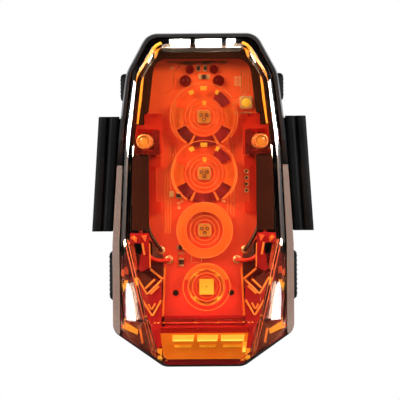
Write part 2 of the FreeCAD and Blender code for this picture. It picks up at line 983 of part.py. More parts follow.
def side_panel():
    """Right-hand dark panel that covers the leads below the laser."""
    front = board_front_y - panel_lift
    plate = box(
        panel_inner_x, panel_outer_x, front - panel_height, front, panel_bottom_z, panel_top_z
    )
    feet = []
    for z in (panel_bottom_z, panel_top_z - panel_rib_width):
        feet.append(
            box(panel_outer_x - panel_rib_width, panel_outer_x, front, seam_y, z, z + panel_rib_width)
        )
    skirt_x = panel_inner_x + panel_skirt
    skirt = box(panel_inner_x, skirt_x, front, board_front_y, panel_skirt_end_z, panel_top_z)
    return plate.fuse(feet + [skirt]).removeSplitter()


def lead_points(points):
    return [vec(x, board_front_y - lead_pad_height - height, z) for x, z, height in points]


def lead_pads():
    pads = []
    for points in (lead_black_points, lead_red_points):
        x, z, _ = points[-1]
        for side in (-1, 1):
            start = vec(side * x, board_front_y - lead_pad_height, z)
            pads.append(Part.makeCylinder(lead_pad_radius, lead_pad_height, start, vec(0, 1, 0)))
    return Part.makeCompound(pads)


def chevron(step):
    """One V-shaped prism step, lower and nearer to the front than the last."""
    outer = prism_outer_x - step * prism_step_in
    valley = prism_valley_x - step * prism_valley_in
    z = prism_top_z - prism_first_drop - step * prism_step_down
    low = z - prism_arm_drop
    inner_z = z - prism_inner_drop
    points = [
        (outer, z, prism_corner),
        (outer - prism_outer_tuck, z - prism_arm_width, prism_corner),
        (valley, low - prism_arm_width, prism_corner),
        (prism_inner_x, inner_z - prism_arm_width, prism_corner),
        (prism_inner_x, inner_z, prism_corner),
        (valley, low, prism_corner),
    ]
    height = prism_base_height + prism_step_height * (step + 1)
    return front_prism(points, board_front_y, board_front_y - height)


def prism_wedge():
    """Wedge below the steps, whose front face rises from its top to its tip."""
    height = board_front_y - prism_wedge_height
    corners = [
        vec(prism_inner_x, board_front_y, prism_wedge_top_z),
        vec(prism_wedge_outer_x, board_front_y, prism_wedge_top_z),
        vec(prism_inner_x, board_front_y, prism_bottom_z),
    ]
    base = Part.Face(Part.makePolygon(corners + [corners[0]])).extrude(vec(0, -prism_wedge_height, 0))
    low = vec(prism_inner_x, height, prism_bottom_z)
    top = vec(prism_inner_x, board_front_y - prism_base_height, prism_wedge_top_z)
    across = vec(prism_wedge_outer_x, board_front_y - prism_base_height, prism_wedge_top_z)
    return base.cut(plane_cutter(top, across, low, vec(prism_inner_x, lens_front_y, prism_wedge_top_z), 0.0))


def side_prism():
    wing_points = [
        (prism_inner_x, prism_top_z, prism_corner),
        (prism_wing_x, prism_top_z - prism_wing_drop, prism_corner),
        (prism_wing_low_x, prism_wing_low_z, prism_corner),
        (prism_inner_x, prism_bottom_z, prism_corner),
    ]
    wing = front_prism(wing_points, board_front_y, board_front_y - prism_base_height)
    steps = [chevron(i) for i in range(prism_step_count)]
    return wing.fuse(steps + [prism_wedge()]).removeSplitter()


def window_frame_point(along, inwards):
    """Point (y, z) on the lower window's slope, a share of the way down it and moved inwards."""
    dy = window_foot_y - lens_front_y
    dz = window_foot_z - window_top_z
    size = math.hypot(dy, dz)
    ny, nz = -dz / size, dy / size
    return lens_front_y + dy * along + ny * inwards, window_top_z + dz * along + nz * inwards


def lower_reflector():
    """Plate behind the lower window, ribbed across, with two ledges above it on posts."""
    inwards = lens_wall + reflector_gap
    half = reflector_half_width
    shares = (reflector_top_share, reflector_bottom_share)
    face = [window_frame_point(s, inwards) for s in shares]
    back = [window_frame_point(s, inwards + reflector_thickness) for s in reversed(shares)]
    corners = [vec(-half, y, z) for y, z in face + back]
    plate = Part.Face(Part.makePolygon(corners + [corners[0]])).extrude(vec(2 * half, 0, 0))
    grooves = []
    for i in range(reflector_rib_count):
        share = shares[0] + (shares[1] - shares[0]) * (i + 0.5) / reflector_rib_count
        y, z = window_frame_point(share, inwards)
        start = vec(reflector_rib_margin - half, y, z)
        length = 2 * (half - reflector_rib_margin)
        grooves.append(Part.makeCylinder(reflector_rib_depth / 2, length, start, vec(1, 0, 0)))
    front_y, _ = window_frame_point(reflector_top_share, inwards)
    root_y = front_y + ledge_depth
    top_z = ledge_z + ledge_pitch + ledge_thickness
    frame = [box(-half, half, root_y - ledge_thickness, root_y, ledge_z - ledge_foot, top_z)]
    for i in range(2):
        low = ledge_z + i * ledge_pitch
        frame.append(box(-half, half, front_y - ledge_step_in * i, root_y, low, low + ledge_thickness))
    for x in (-half, half - ledge_post_width):
        frame.append(box(x, x + ledge_post_width, root_y, board_front_y, ledge_z + ledge_foot, top_z))
    return plate.cut(grooves).fuse(frame).removeSplitter()


def side_button():
    """Right-hand button: domed cap, flange inside the wall and stem to the switch."""
    flange_outer = button_flange_x()
    flange_inner = flange_outer - button_flange_thickness
    tip = side_x(button_z, seam_y) + button_rise
    cap = side_pill(flange_inner, tip, button_y, button_z, button_length, button_width)
    cap = cap.makeFillet(min(button_edge, button_width * button_edge_share), outer_edges(cap, tip))
    flange = side_pill(
        flange_inner,
        flange_outer,
        button_y,
        button_z,
        button_length + 2 * button_flange,
        button_width + 2 * button_flange,
    )
    stem_start = switch_outer_x + plunger_out
    stem = Part.makeCylinder(
        button_stem_radius, flange_inner - stem_start, vec(stem_start, button_y, button_z), vec(1, 0, 0)
    )
    return cap.fuse([flange, stem]).removeSplitter()


def switch_body():
    outer = switch_outer_x
    body = box(
        outer - switch_depth,
        outer,
        board_back_y,
        board_back_y + switch_height,
        button_z - switch_width / 2,
        button_z + switch_width / 2,
    )
    bore_depth = plunger_in + button_travel + plunger_bore_spare
    start = vec(outer - bore_depth, button_y, button_z)
    bore = Part.makeCylinder(plunger_radius + plunger_gap, bore_depth + past, start, vec(1, 0, 0))
    return body.cut(bore)


def switch_plunger():
    start = vec(switch_outer_x - plunger_in, button_y, button_z)
    return Part.makeCylinder(plunger_radius, plunger_in + plunger_out, start, vec(1, 0, 0))


def grip_pad():
    inner, outer, y = grip_bounds()
    pad = side_pill(inner, outer, y, grip_z, grip_length, grip_width)
    return pad.makeChamfer(grip_edge, outer_edges(pad, outer))


def port_board():
    front = board_back_y + header_height
    return box(
        -port_board_half_width,
        port_board_half_width,
        front,
        front + port_board_thickness,
        port_board_bottom_z,
        port_board_top_z,
    )


def port_header():
    top = port_board_top_z - header_margin
    bottom = board_outline[-1][1] + header_margin
    front = board_back_y
    return box(-header_half_width, header_half_width, front, front + header_height, bottom, top)


def usb_socket():
    inner = board_back_y + header_height + port_board_thickness
    mouth = floor_y - socket_mouth_gap
    half = socket_height / 2
    outside = box(-socket_half_width, socket_half_width, inner, mouth, port_z - half, port_z + half)
    hollow = box(
        -socket_half_width + socket_wall,
        socket_half_width - socket_wall,
        inner + socket_back_wall,
        mouth + past,
        port_z - half + socket_wall,
        port_z + half - socket_wall,
    )
    reach = socket_half_width - socket_tongue_margin
    low = port_z - socket_wall
    tongue = box(-reach, reach, inner, mouth - socket_tongue_back, low, low + 2 * socket_wall)
    return outside.cut(hollow).fuse(tongue).removeSplitter()


def port_cover():
    """Rubber flap with its hinge barrel along the top and a plug that enters the opening."""
    back = housing_back_y - flap_recess
    points = flap_outline(0.0)
    plate = front_prism(points, back, back + flap_thickness)
    half = socket_half_width + port_opening_gap - flap_plug_gap
    tall = socket_height / 2 + port_opening_gap - flap_plug_gap
    plug = box(-half, half, back - flap_plug_length, back, port_z - tall, port_z + tall)
    face = back + flap_thickness
    low = points[1][1] + flap_lip
    lip = box(-flap_lip_half_width, flap_lip_half_width, face, face + flap_lip, low, low + 2 * flap_lip)
    barrel = hinge_barrel(flap_hinge_radius, flap_half_width)
    return plate.fuse([barrel, plug, lip]).removeSplitter()


def saddle_pad():
    back = housing_back_y
    angle = math.radians(pad_wrap_angle)
    lip_x = (post_radius + pad_post_gap) * math.sin(angle)
    lip_y = -(post_radius + pad_post_gap) * math.cos(angle)
    right = [
        (lip_x, lip_y, sharp_corner),
        (lip_x + pad_lip_width, lip_y + pad_lip_drop, pad_lip_corner),
        (pad_half_width, pad_edge_y, pad_corner),
        (pad_half_width, back, pad_back_corner),
    ]
    left = [(-x, y, radius) for x, y, radius in reversed(right)]
    points = left + [(0, lip_y / 2, sharp_corner)] + right
    wire = rounded_wire(points, lambda u, v: vec(u, v, -pad_half_height))
    block = Part.Face(wire).extrude(vec(0, 0, 2 * pad_half_height))
    post = Part.makeCylinder(post_radius, 2 * far, vec(0, 0, -far), vec(0, 0, 1))
    key = box(
        -pad_key_half_width,
        pad_key_half_width,
        back - pad_key_depth,
        back,
        -pad_key_half_height,
        pad_key_half_height,
    )
    return block.cut(post).fuse(key).removeSplitter()


def arm_section(z):
    """Section of the strap's right-hand arm and its two-lobed end, seen from above."""
    front_tip_y = housing_back_y - rail_front_over_back + rail_land
    tip_x = strap_x(z) + rail_out
    hook_y = front_tip_y - strap_clear
    hook_in_x = strap_x(z) + bead_clear
    hook_in_y = hook_y - rail_slope * (tip_x - hook_in_x)
    nose_y = hook_in_y - bead_length
    arm_in_x = tip_x + strap_clear + bead_clear
    outer_x = hook_in_x + 2 * bead_width
    groove_x = hook_in_x + bead_width
    angle = math.radians(strap_foot_angle)
    foot_in = (post_radius * math.cos(angle), post_radius * math.sin(angle))
    foot_out = (strap_outer * math.cos(angle), strap_outer * math.sin(angle))
    points = [
        (foot_in[0], foot_in[1], sharp_corner),
        (arm_in_x, front_tip_y + rail_thickness + strap_arm_shoulder, strap_arm_corner),
        (arm_in_x, hook_y, bead_hook_corner),
        (hook_in_x, hook_in_y, bead_lobe_corner),
        (hook_in_x, nose_y, bead_corner),
        (groove_x - bead_groove_half_width, nose_y, bead_lobe_corner),
        (groove_x, nose_y + bead_groove_depth, bead_groove_corner),
        (groove_x + bead_groove_half_width, nose_y, bead_lobe_corner),
        (outer_x, nose_y, bead_outer_corner),
        (outer_x, front_tip_y + rail_thickness, strap_back_corner),
        (foot_out[0], foot_out[1], sharp_corner),
    ]
    return rounded_wire(points, lambda u, v: vec(u, v, z))


def strap_half():
    """Right half of the strap as one piece, from the middle of the back to the hooked end."""
    sections = [arm_section(z) for z in (strap_end_half_height, -strap_end_half_height)]
    arm = Part.makeLoft(sections, True, True)
    tall = 2 * strap_end_half_height
    foot = vec(0, 0, -strap_end_half_height)
    ring = Part.makeCylinder(strap_outer, tall, foot, vec(0, 0, 1), 90 - strap_foot_angle)
    hole = Part.makeCylinder(post_radius, tall, foot, vec(0, 0, 1))
    ring = ring.cut(hole)
    ring.rotate(vec(0, 0, 0), vec(0, 0, 1), strap_foot_angle)
    whole = arm.fuse(ring).removeSplitter()
    front, back = strap_taper_front_y, strap_taper_back_y
    upper = [
        vec(-far, -far, strap_end_half_height),
        vec(-far, front, strap_end_half_height),
        vec(-far, back, strap_back_half_height),
        vec(-far, far, strap_back_half_height),
    ]
    side = upper + [vec(p.x, p.y, -p.z) for p in reversed(upper)]
    envelope = Part.Face(Part.makePolygon(side + [side[0]])).extrude(vec(2 * far, 0, 0))
    return whole.common(envelope)


def strap_knuckle(radius):
    height = 2 * strap_back_half_height
    return Part.makeCylinder(radius, height, vec(0, strap_middle, -strap_back_half_height), vec(0, 0, 1))


def strap_free_half():
    """Half that unhooks on the right, with the round knuckle that stands for the rubber's bend."""
    return strap_half().fuse(strap_knuckle(strap_thickness / 2)).removeSplitter()


def strap_fixed_half():
    """Half that stays on the left rail, hollowed round the knuckle and cut back for the swing."""
    half = mirrored(strap_half())
    socket = strap_knuckle(strap_thickness / 2 + strap_split_gap)
    angle = math.radians(90 + strap_open_angle + strap_horn_margin)
    centre = vec(0, strap_middle, -far)
    wedge = [
        centre,
        centre + vec(far, 0, 0),
        centre + vec(far, far, 0),
        centre + vec(far * math.cos(angle), far, 0),
        centre + vec(far * math.cos(angle), far * math.sin(angle), 0),
    ]
    swing = Part.Face(Part.makePolygon(wedge + [wedge[0]])).extrude(vec(0, 0, 2 * far))
    return half.cut([socket, swing])


def chips(places, y, way):
    parts = []
    for x, z, width, height, thickness in places:
        y0, y1 = sorted((y, y + way * thickness))
        parts.append(centred_box(x, z, width, height, y0, y1))
    return Part.makeCompound(parts)


def controller_chip():
    x, z = controller_place
    back = board_back_y + controller_height
    return centred_box(x, z, controller_side, controller_side, board_back_y, back)


def inductor():
    x, z = inductor_place
    half = inductor_side / 2
    points = [
        (x + half, z + half, inductor_corner),
        (x + half, z - half, inductor_corner),
        (x - half, z - half, inductor_corner),
        (x - half, z + half, inductor_corner),
    ]
    return front_prism(points, board_back_y, board_back_y + inductor_height)


def battery_lead(mirror):
    reach = cell_middle_y - board_back_y
    points = [vec(x, board_back_y + reach * share, z) for x, z, share in battery_lead_points]
    if mirror:
        points = [vec(p.x - battery_lead_spacing, p.y, p.z) for p in points]
    return tube_along(points, lead_radius)


def build():
    nodes = {
        "lens_cover": lens_cover(),
        "rear_housing": rear_housing(),
        "housing_seal": seal_ring(seam_y, seam_y + seal_height),
        "battery_cell": battery_cell(),
        "battery_tray": battery_tray(),
        "battery_foam": battery_foam(),
        "battery_lead_red": battery_lead(False),
        "battery_lead_black": battery_lead(True),
        "circuit_board": circuit_board(),
        "front_parts": chips(front_chips, board_front_y, -1),
        "back_parts": chips(back_chips, board_back_y, 1),
        "controller_chip": controller_chip(),
        "boost_inductor": inductor(),
        "lead_pads": lead_pads(),
        "main_diodes": main_diodes(),
        "lower_diode": diode(optic_z(3), lower_diode_height, False),
        "optic_array": optic_array(),
        "lower_optic": collimator(optic_z(3), lower_optic_radius),
        "small_domes": small_domes(),
        "status_diode": status_diode(),
        "inner_bezel": inner_bezel(),
        "lower_reflector": lower_reflector(),
        "port_board": port_board(),
        "port_header": port_header(),
        "usb_socket": usb_socket(),
        "port_cover": port_cover(),
        "saddle_pad": saddle_pad(),
        "strap_free_half": strap_free_half(),
        "strap_fixed_half": strap_fixed_half(),
    }
    right_hand = {
        "side_diffuser": side_diffuser(),
        "laser_barrel": laser_barrel(),
        "laser_lens": laser_lens(laser_lens_thickness * laser_lens_share),
        "laser_diode": laser_diode(),
        "laser_holder": laser_holder(),
        "laser_lead_black": tube_along(lead_points(lead_black_points), lead_radius),
        "laser_lead_red": tube_along(lead_points(lead_red_points), lead_radius),
        "side_panel": side_panel(),
        "side_prism": side_prism(),
        "side_button": side_button(),
        "switch_body": switch_body(),
        "switch_plunger": switch_plunger(),
        "grip_pad": grip_pad(),
    }
    for name, shape in right_hand.items():
        nodes[name + "_right"] = shape
        nodes[name + "_left"] = mirrored(shape)
    return nodes


os.makedirs("parts", exist_ok=True)
for node, shape in build().items():
    solids = shape.Solids
    print(node, len(solids), "solids, volume", round(shape.Volume, 2), "valid", shape.isValid())
    shape.exportStep("parts/" + node + ".step")
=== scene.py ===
import bmesh
import bpy
import json
import math
from mathutils import Matrix, Vector

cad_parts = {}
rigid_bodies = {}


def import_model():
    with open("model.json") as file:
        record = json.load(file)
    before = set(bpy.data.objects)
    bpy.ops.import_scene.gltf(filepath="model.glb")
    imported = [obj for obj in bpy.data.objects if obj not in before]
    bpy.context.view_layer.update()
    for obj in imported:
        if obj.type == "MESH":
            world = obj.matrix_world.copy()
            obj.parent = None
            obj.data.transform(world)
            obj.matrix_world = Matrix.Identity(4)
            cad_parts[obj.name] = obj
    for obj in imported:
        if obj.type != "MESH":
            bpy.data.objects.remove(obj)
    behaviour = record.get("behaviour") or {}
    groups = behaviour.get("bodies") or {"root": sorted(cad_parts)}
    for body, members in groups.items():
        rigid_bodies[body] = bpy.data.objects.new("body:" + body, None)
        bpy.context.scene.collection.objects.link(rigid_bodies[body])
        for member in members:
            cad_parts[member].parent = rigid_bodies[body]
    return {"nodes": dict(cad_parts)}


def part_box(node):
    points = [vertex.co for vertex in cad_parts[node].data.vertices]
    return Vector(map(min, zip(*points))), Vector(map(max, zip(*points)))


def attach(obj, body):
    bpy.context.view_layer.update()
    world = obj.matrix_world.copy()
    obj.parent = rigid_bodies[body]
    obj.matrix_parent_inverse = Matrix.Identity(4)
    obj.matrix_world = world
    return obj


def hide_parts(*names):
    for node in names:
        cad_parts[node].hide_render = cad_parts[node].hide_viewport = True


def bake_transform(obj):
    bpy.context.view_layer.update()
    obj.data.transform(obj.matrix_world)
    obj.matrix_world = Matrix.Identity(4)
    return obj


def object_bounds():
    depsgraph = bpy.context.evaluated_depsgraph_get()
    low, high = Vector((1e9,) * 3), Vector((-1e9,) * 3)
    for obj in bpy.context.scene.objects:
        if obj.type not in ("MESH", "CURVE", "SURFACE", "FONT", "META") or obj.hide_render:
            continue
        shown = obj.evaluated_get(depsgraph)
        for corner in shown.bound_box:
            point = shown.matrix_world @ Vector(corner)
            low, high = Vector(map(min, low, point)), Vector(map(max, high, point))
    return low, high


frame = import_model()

cad_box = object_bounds()

# Looks of a bicycle tail light. Lengths are written in millimetres and turned into metres by MM.
# +X is to the right seen from behind the bicycle, +Z is up and the lens faces -Y.
MM = 0.001
SIDES = {"left": -1, "right": 1}
FORWARD = Vector((0, -1, 0))


def node_box(name):
    """Low and high corner of a CAD node in millimetres."""
    low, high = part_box(name)
    return low / MM, high / MM


# Places that the frame gives
board_front_y = node_box("circuit_board")[0].y
lens_front_y = node_box("lens_cover")[0].y
seam_y = node_box("lens_cover")[1].y


def on_board(x, z, height=0.0):
    return Vector((x, board_front_y - height, z))


# Camera, which looks along +Y
frame_width = 94.0
frame_centre_x = -0.65
frame_centre_z = -6.23
camera_roll = 0.4
camera_distance = 1400.0
camera_sensor = 36.0

# Floor
floor_drop = 140.0
floor_reach = 600.0
floor_tone = 0.8
floor_gloss_tone = 0.02
floor_bright_share = 0.9

# Bright panes round the studio, which the lens mirrors as white strips: ends along each axis, and power
pane_distance = 500.0
top_panes_x = [(-11.8, -3.5), (-1.6, 6.4), (8.0, 13.7)]
top_pane_y = (-250.0, 50.0)
top_pane_power = 1.3
side_pane_y = (150.0, 1050.0)
side_pane_z = (44.0, 118.0)
side_pane_power = 5.0
corner_pane_y = (-330.0, -30.0)
corner_pane_z = (210.0, 340.0)
corner_pane_power = 3.0
# Oval lamp mirrored in each upper facet: where its middle shows on the facet, and its width and height there
wedge_foot = (16.9, -34.6)
wedge_size = (2.2, 18.5)
wedge_turn = -0.09
facet_lamp_distance = 250.0
facet_lamp_power = 0.0014
# Soft lamps that light the whole object, as place on the right, size and power
side_strip = ((800, -260, 0), (120, 700), 5.0)
front_fill = ((500, -600, 350), (300, 300), 6.0)
room_light = 0.35
# What gloss and glass see of the room, from straight ahead (0) to straight behind the light (1)
room_levels = [(0.0, 0.03), (0.42, 0.04), (0.6, 0.05), (0.76, 0.07), (0.92, 0.9)]

# Lens: right half of its outlines as (x, z, corner radius), at the seam and at the front
lens_outline = [
    (12.0, 31.7, 3.2),
    (16.6, 23.2, 7.2),
    (18.3, 9.6, 12.0),
    (19.5, -16.5, 12.0),
    (19.5, -37.4, 2.4),
    (8.9, -45.0, 3.2),
]
front_outline = [
    (10.4, 29.4, 3.4),
    (15.2, 22.4, 7.0),
    (17.4, 3.5, 12.0),
    (18.2, -16.5, 12.0),
    (18.0, -35.8, 2.0),
    (7.4, -43.4, 2.6),
]
lens_shoulder_inset = 0.4
lens_bevel_depth = 2.0
lens_wall = 1.5
inner_front_share = 0.75
lens_corner_steps = 5
lens_straight_parts = 6
lens_bevel_rows = 3
lens_least_edge = 0.3
lens_weld = 0.01
lens_crease_angle = 15.0
lens_crease_width = 0.12
# Creases this far above the window's top are rounded
lens_crease_gap = 1.0
# Slanted window at the bottom
window_top_z = -34.6
window_foot_z = -44.9
window_foot_y = seam_y - 5.0
window_block_gap = 2.7
# Crease beside the lower facets, as (x, z), and the point of the side wall where both facets end
crease_top = (18.3, -14.5)
crease_knee = (13.7, window_top_z)
crease_low = (11.6, -43.4)
facet_foot = Vector((21.0, seam_y - 2.6, -34.0))
# Painted highlights: golden glint along the rim's inner edge and orange glint along the crease, as (x, z) on
# the right, and their heights
rim_glow_route = [(9.4, 30.0), (10.4, 29.4), (13.9, 23.0), (14.5, 17.0), (15.3, 11.6)]
rim_glow_height = board_front_y - lens_front_y - 2.6
crease_glow_route = [(17.6, -15.4), (15.5, -24.4), (13.1, -34.2)]
crease_glow_end = (11.3, -42.6)
crease_glow_height = rim_glow_height + 0.6
crease_glow_lift = 0.9
rim_glow_run = {"Width": 0.45, "Height": 0.8, "Bend": 0.6}
crease_glow_run = {"Width": 0.13, "Height": 0.3, "Bend": 0.2}

# Frosted diffuser beside the lens, as (x, z, corner radius), which tapers round the lower corner
diffuser_outline = [
    (18.8, 2.0, 0.2),
    (20.05, 2.0, 0.3),
    (21.28, -16.5, 6.0),
    (21.28, -36.2, 3.0),
    (19.7, -38.0, 0.3),
    (19.6, -36.0, 1.0),
    (19.65, -16.5, 6.0),
]

# How wide the rounded edges of shells and rubber parts are, and the angles that make a flat face and an edge
housing_edge = 0.15
shell_edge = 0.12
cushion_edge = 0.3
diffuser_edge = 0.15
flat_angle = 0.8
edge_angle = 24.0

# Optics and diodes on the board's middle line, a little to the right of the light's own
optic_x = 0.4
optic_top_z = 13.3
optic_pitch = 13.3
optic_radii = [7.9, 7.7, 6.5]
optic_bowl_limit = 6.6
optic_hole = 2.1
optic_height = 4.2
ripple_pitch = 0.42
lower_optic_radius = 5.5
lower_optic_hole = 3.1
optic_steps = 72
ring_steps = 64
whole_turn = (0, 360)
# Outer rims, of which the upper ones don't go all round (start and end in degrees), and the fine rings inside
upper_rim_turn = (-38, 218)
rim_width = 0.18
rim_heights = (optic_height - 0.2, optic_height)
fine_ring_heights = (optic_height - 0.1, optic_height + 0.16)
fine_ring_width = 0.12
lower_ring_width = 0.16
optic_fine_rings = (4.4, 3.4, 2.45)
lower_fine_rings = (lower_optic_radius, 4.3, 3.3)
# Parts of rings round each upper optic: piece, radii, heights, steps, and start and end of each in degrees
upper_optic_parts = [
    ("optic_shelves", (4.9, 7.3), (0.6, 1.8), 16, [(158, 206), (-26, 22)]),
    ("optic_gaps", (4.7, 7.0), (0.0, 0.5), 16, [(206, 240), (246, 294), (300, 334), (28, 62)]),
    ("optic_seats", (7.2, 7.5), (0.5, 3.4), 24, [(152, 236), (-56, 28)]),
    ("optic_seats", (4.9, 7.1), (0.5, 2.2), 4, [(241, 246), (295, 300)]),
    ("optic_glints", (6.2, 7.2), (2.0, 2.4), 8, [(84, 97)]),
    ("optic_glints", (6.0, 7.0), (2.0, 2.4), 8, [(58, 65)]),
    ("optic_glints", (5.9, 6.9), (2.0, 2.4), 8, [(112, 122)]),
    ("optic_glints", (2.7, 3.7), (2.0, 2.4), 8, [(80, 96)]),
]
# Orange shelf all round the third optic, and the one over the lower optic
shelf_inner = 4.5
third_shelf_gap = 0.15
third_shelf_heights = (0.6, 2.4)
lower_shelf_gap = 0.1
lower_shelf_heights = (2.6, 3.2)
lower_shelf_turn = (20, 160)

# Main diodes, the yellow one under the lowest optic and the square status diode
diode_side = 3.1
diode_corner = 0.25
diode_height = 0.9
diode_square_side = 2.6
diode_square_corner = 0.2
diode_square_lift = 0.04
emitter_lift = 0.05
diode_dome_lift = 0.06
diode_dome = [(0.0, 0.0), (1.25, 0.0), (1.2, 0.25), (1.05, 0.6), (0.8, 0.9), (0.45, 1.1), (0.0, 1.18)]
emitter_places = [(-0.6, 0.35), (0.6, 0.35), (0.0, -0.55)]
lower_diode_x = 0.75
lower_diode_z = optic_top_z - 3 * optic_pitch
lower_diode_size = (3.4, 3.7)
lower_diode_height = 1.1
emitter_rim = {"Radius": 0.42, "Depth": 0.06}
emitter_dot = {"Radius": 0.26, "Depth": 0.12}
yellow_dot = {"Radius": 0.16, "Depth": 0.06}
yellow_dot_lift = 0.02
status_place = (10.3, 16.6)
# Case of the status diode, as (half width, height): square outside, round in the well
status_case = [(1.5, 0.0), (1.5, 0.92), (1.4, 1.0), (1.12, 1.0), (1.0, 0.7), (0.0, 0.7)]
status_well_radius = 1.2
status_well_floor = 0.7
status_steps = 32
status_lamp = [(0.0, 0.0), (0.96, 0.0), (0.96, 0.18), (0.7, 0.3), (0.0, 0.34)]
status_land = [(-1.5, -2.2, 0.2), (1.5, -2.2, 0.2), (0.8, -2.9, 0.4), (-0.8, -2.9, 0.4)]
status_land_height = 0.25
status_land_edge = 0.05

# Lasers, turned about their own axis: (radius, distance from the foot)
laser_foot = Vector((12.7, board_front_y - 1.2, 7.45))
laser_tilt = 8.0
laser_radius = 1.75
laser_profile = [
    (0.95, 0.0), (1.75, 0.0), (1.75, 4.6), (1.62, 4.7), (1.62, 5.0), (1.75, 5.1), (1.75, 7.5),
    (1.62, 7.75), (1.45, 7.8), (1.36, 7.7), (1.36, 6.95), (0.95, 6.9),
]
laser_window_profile = [(0.0, 6.92), (1.33, 6.92), (1.33, 7.3), (1.1, 7.46), (0.6, 7.58), (0.0, 7.62)]
knurl_count = 30
knurl_rows = (6.1, 6.5, 6.9)
knurl_rib = {"Radius": 0.07, "Length": 0.22}
carrier_plate_lift = 0.1
# Dark plates beside each barrel, as corners (x, z)
carrier_plates = [
    [(10.0, 10.2), (11.5, 10.2), (11.5, 4.5), (10.0, 4.5)],
    [(11.6, 5.3), (15.8, 5.3), (15.8, 4.5), (11.6, 4.5)],
]

# Laser leads on the right, as points (x, z, height over the board); the left ones are their mirror image
lead_radius = 0.45
lead_bare_end = 0.75
lead_black_points = [
    (13.5, 4.6, 1.2), (13.5, 0.0, 1.2), (13.7, -5.6, 1.4), (13.5, -11.6, 1.7),
    (11.7, -15.6, 1.9), (9.9, -17.9, 1.5), (9.9, -17.9, 0.0),
]
lead_red_points = [
    (15.0, 4.6, 1.2), (15.0, 0.4, 1.2), (15.1, -6.4, 1.3), (14.9, -12.8, 1.7),
    (13.7, -18.6, 2.1), (10.9, -20.9, 2.0), (8.0, -20.2, 1.5), (8.0, -20.2, 0.0),
]
lead_ring = {"Radius": 0.82, "Rim": 0.17}
lead_ring_lift = 0.04
solder_cone = [(0.0, 0.0), (0.95, 0.0), (0.95, 0.12), (0.62, 0.25), (0.4, 0.7), (0.25, 1.15), (0.0, 1.3)]

# Small parts on the board's front: (x, z, width, height, thickness)
chips = [
    (-5.6, -5.1, 1.2, 1.6, 0.7),
    (-5.3, -17.3, 1.7, 1.1, 0.6),
    (-5.1, -20.8, 1.1, 1.9, 0.6),
    (0.5, 22.7, 1.6, 1.0, 0.6),
    (-0.8, 24.7, 0.7, 1.5, 0.4),
    (0.8, 24.7, 0.7, 1.5, 0.4),
]
chip_end_share = 0.22
chip_end_lift = 0.02
chip_corner = 0.05
chip_edge = 0.06
land_height = 0.07
land_edge = 0.02
mask_lift = 0.02
# Bare copper lands, as (x, z, width, height)
bare_lands = [
    (-0.8, 24.7, 0.9, 1.6), (0.8, 24.7, 0.9, 1.6), (-7.3, -4.8, 1.1, 1.4), (-0.5, 22.7, 0.6, 1.2),
    (1.5, 22.7, 0.6, 1.2), (-4.3, -17.3, 0.5, 1.2), (7.6, 14.2, 1.0, 0.5),
]
# Pale patches along the board's top edge, as (width, height)
top_patches = [(2.2, 0.5), (1.4, 0.8), (2.6, 1.0), (1.2, 0.6), (2.4, 0.9), (1.6, 0.5), (1.9, 0.7)]
top_patch_start = (-7.0, 26.5)
top_patch_pitch = 2.0
top_patch_height = 0.06
# Rings and holes: vias by themselves, a block of vias, the column of test holes and a row of solder dots
lone_vias = [(-7.1, 24.9), (-5.6, -7.0), (-5.6, -8.0), (4.2, 6.4), (4.9, -6.6), (-4.9, -6.4), (6.2, -13.6)]
via_block = [(8.0 + 0.9 * i, 22.4 - 0.8 * j) for i in range(2) for j in range(3)]
via_ring = {"Radius": 0.26, "Rim": 0.09}
test_column = [(10.3, 0.45 - 1.5 * i) for i in range(4)]
test_land = {"Radius": 0.42, "Rim": 0.14}
test_hole = {"Radius": 0.32, "Depth": 0.06}
dot_row = [(-5.7 + 0.55 * i, -18.7) for i in range(3)]
dot_lift = 0.03
solder_dot = {"Radius": 0.18, "Depth": 0.08}
outlined_part = (-1.6, -19.6, 2.4, 2.6, 0.3)
outline_run = {"Width": 0.16, "Height": 0.08, "Bend": 0.05}
copper_run = {"Width": 0.34, "Height": 0.12, "Bend": 0.6}
copper_lift = 0.01
# Copper runs in bundles: how many, the first one's route (x, z), and each point's step to the next run
run_bundles = [
    (4, [(9.2, 24.4), (9.2, 18.2), (6.8, 15.6)], [(0.62, 0.0), (0.62, 0.35), (0.62, 0.35)]),
    (3, [(5.8, 11.2), (5.8, -9.2)], [(0.75, -0.5), (0.75, -0.5)]),
    (1, [(5.8, -9.2), (6.2, -10.6), (6.9, -10.6), (7.3, -10.2)], [(0.0, 0.0)] * 4),
    (
        3,
        [(-6.4, 6.5), (-6.4, 3.2), (-7.6, 2.0), (-7.6, -14.0)],
        [(-0.6, 0.0), (-0.6, -0.6), (-0.6, -0.6), (-0.6, 0.0)],
    ),
]
lone_runs = [
    [(-4.5, 26.0), (-6.6, 23.9), (-6.6, 20.5), (-8.4, 18.7)],
    [(-2.0, -17.9), (-4.6, -17.9), (-6.0, -19.3), (-6.0, -22.0)],
    [(3.4, 19.2), (5.4, 19.2), (6.8, 17.8), (9.2, 17.8)],
]

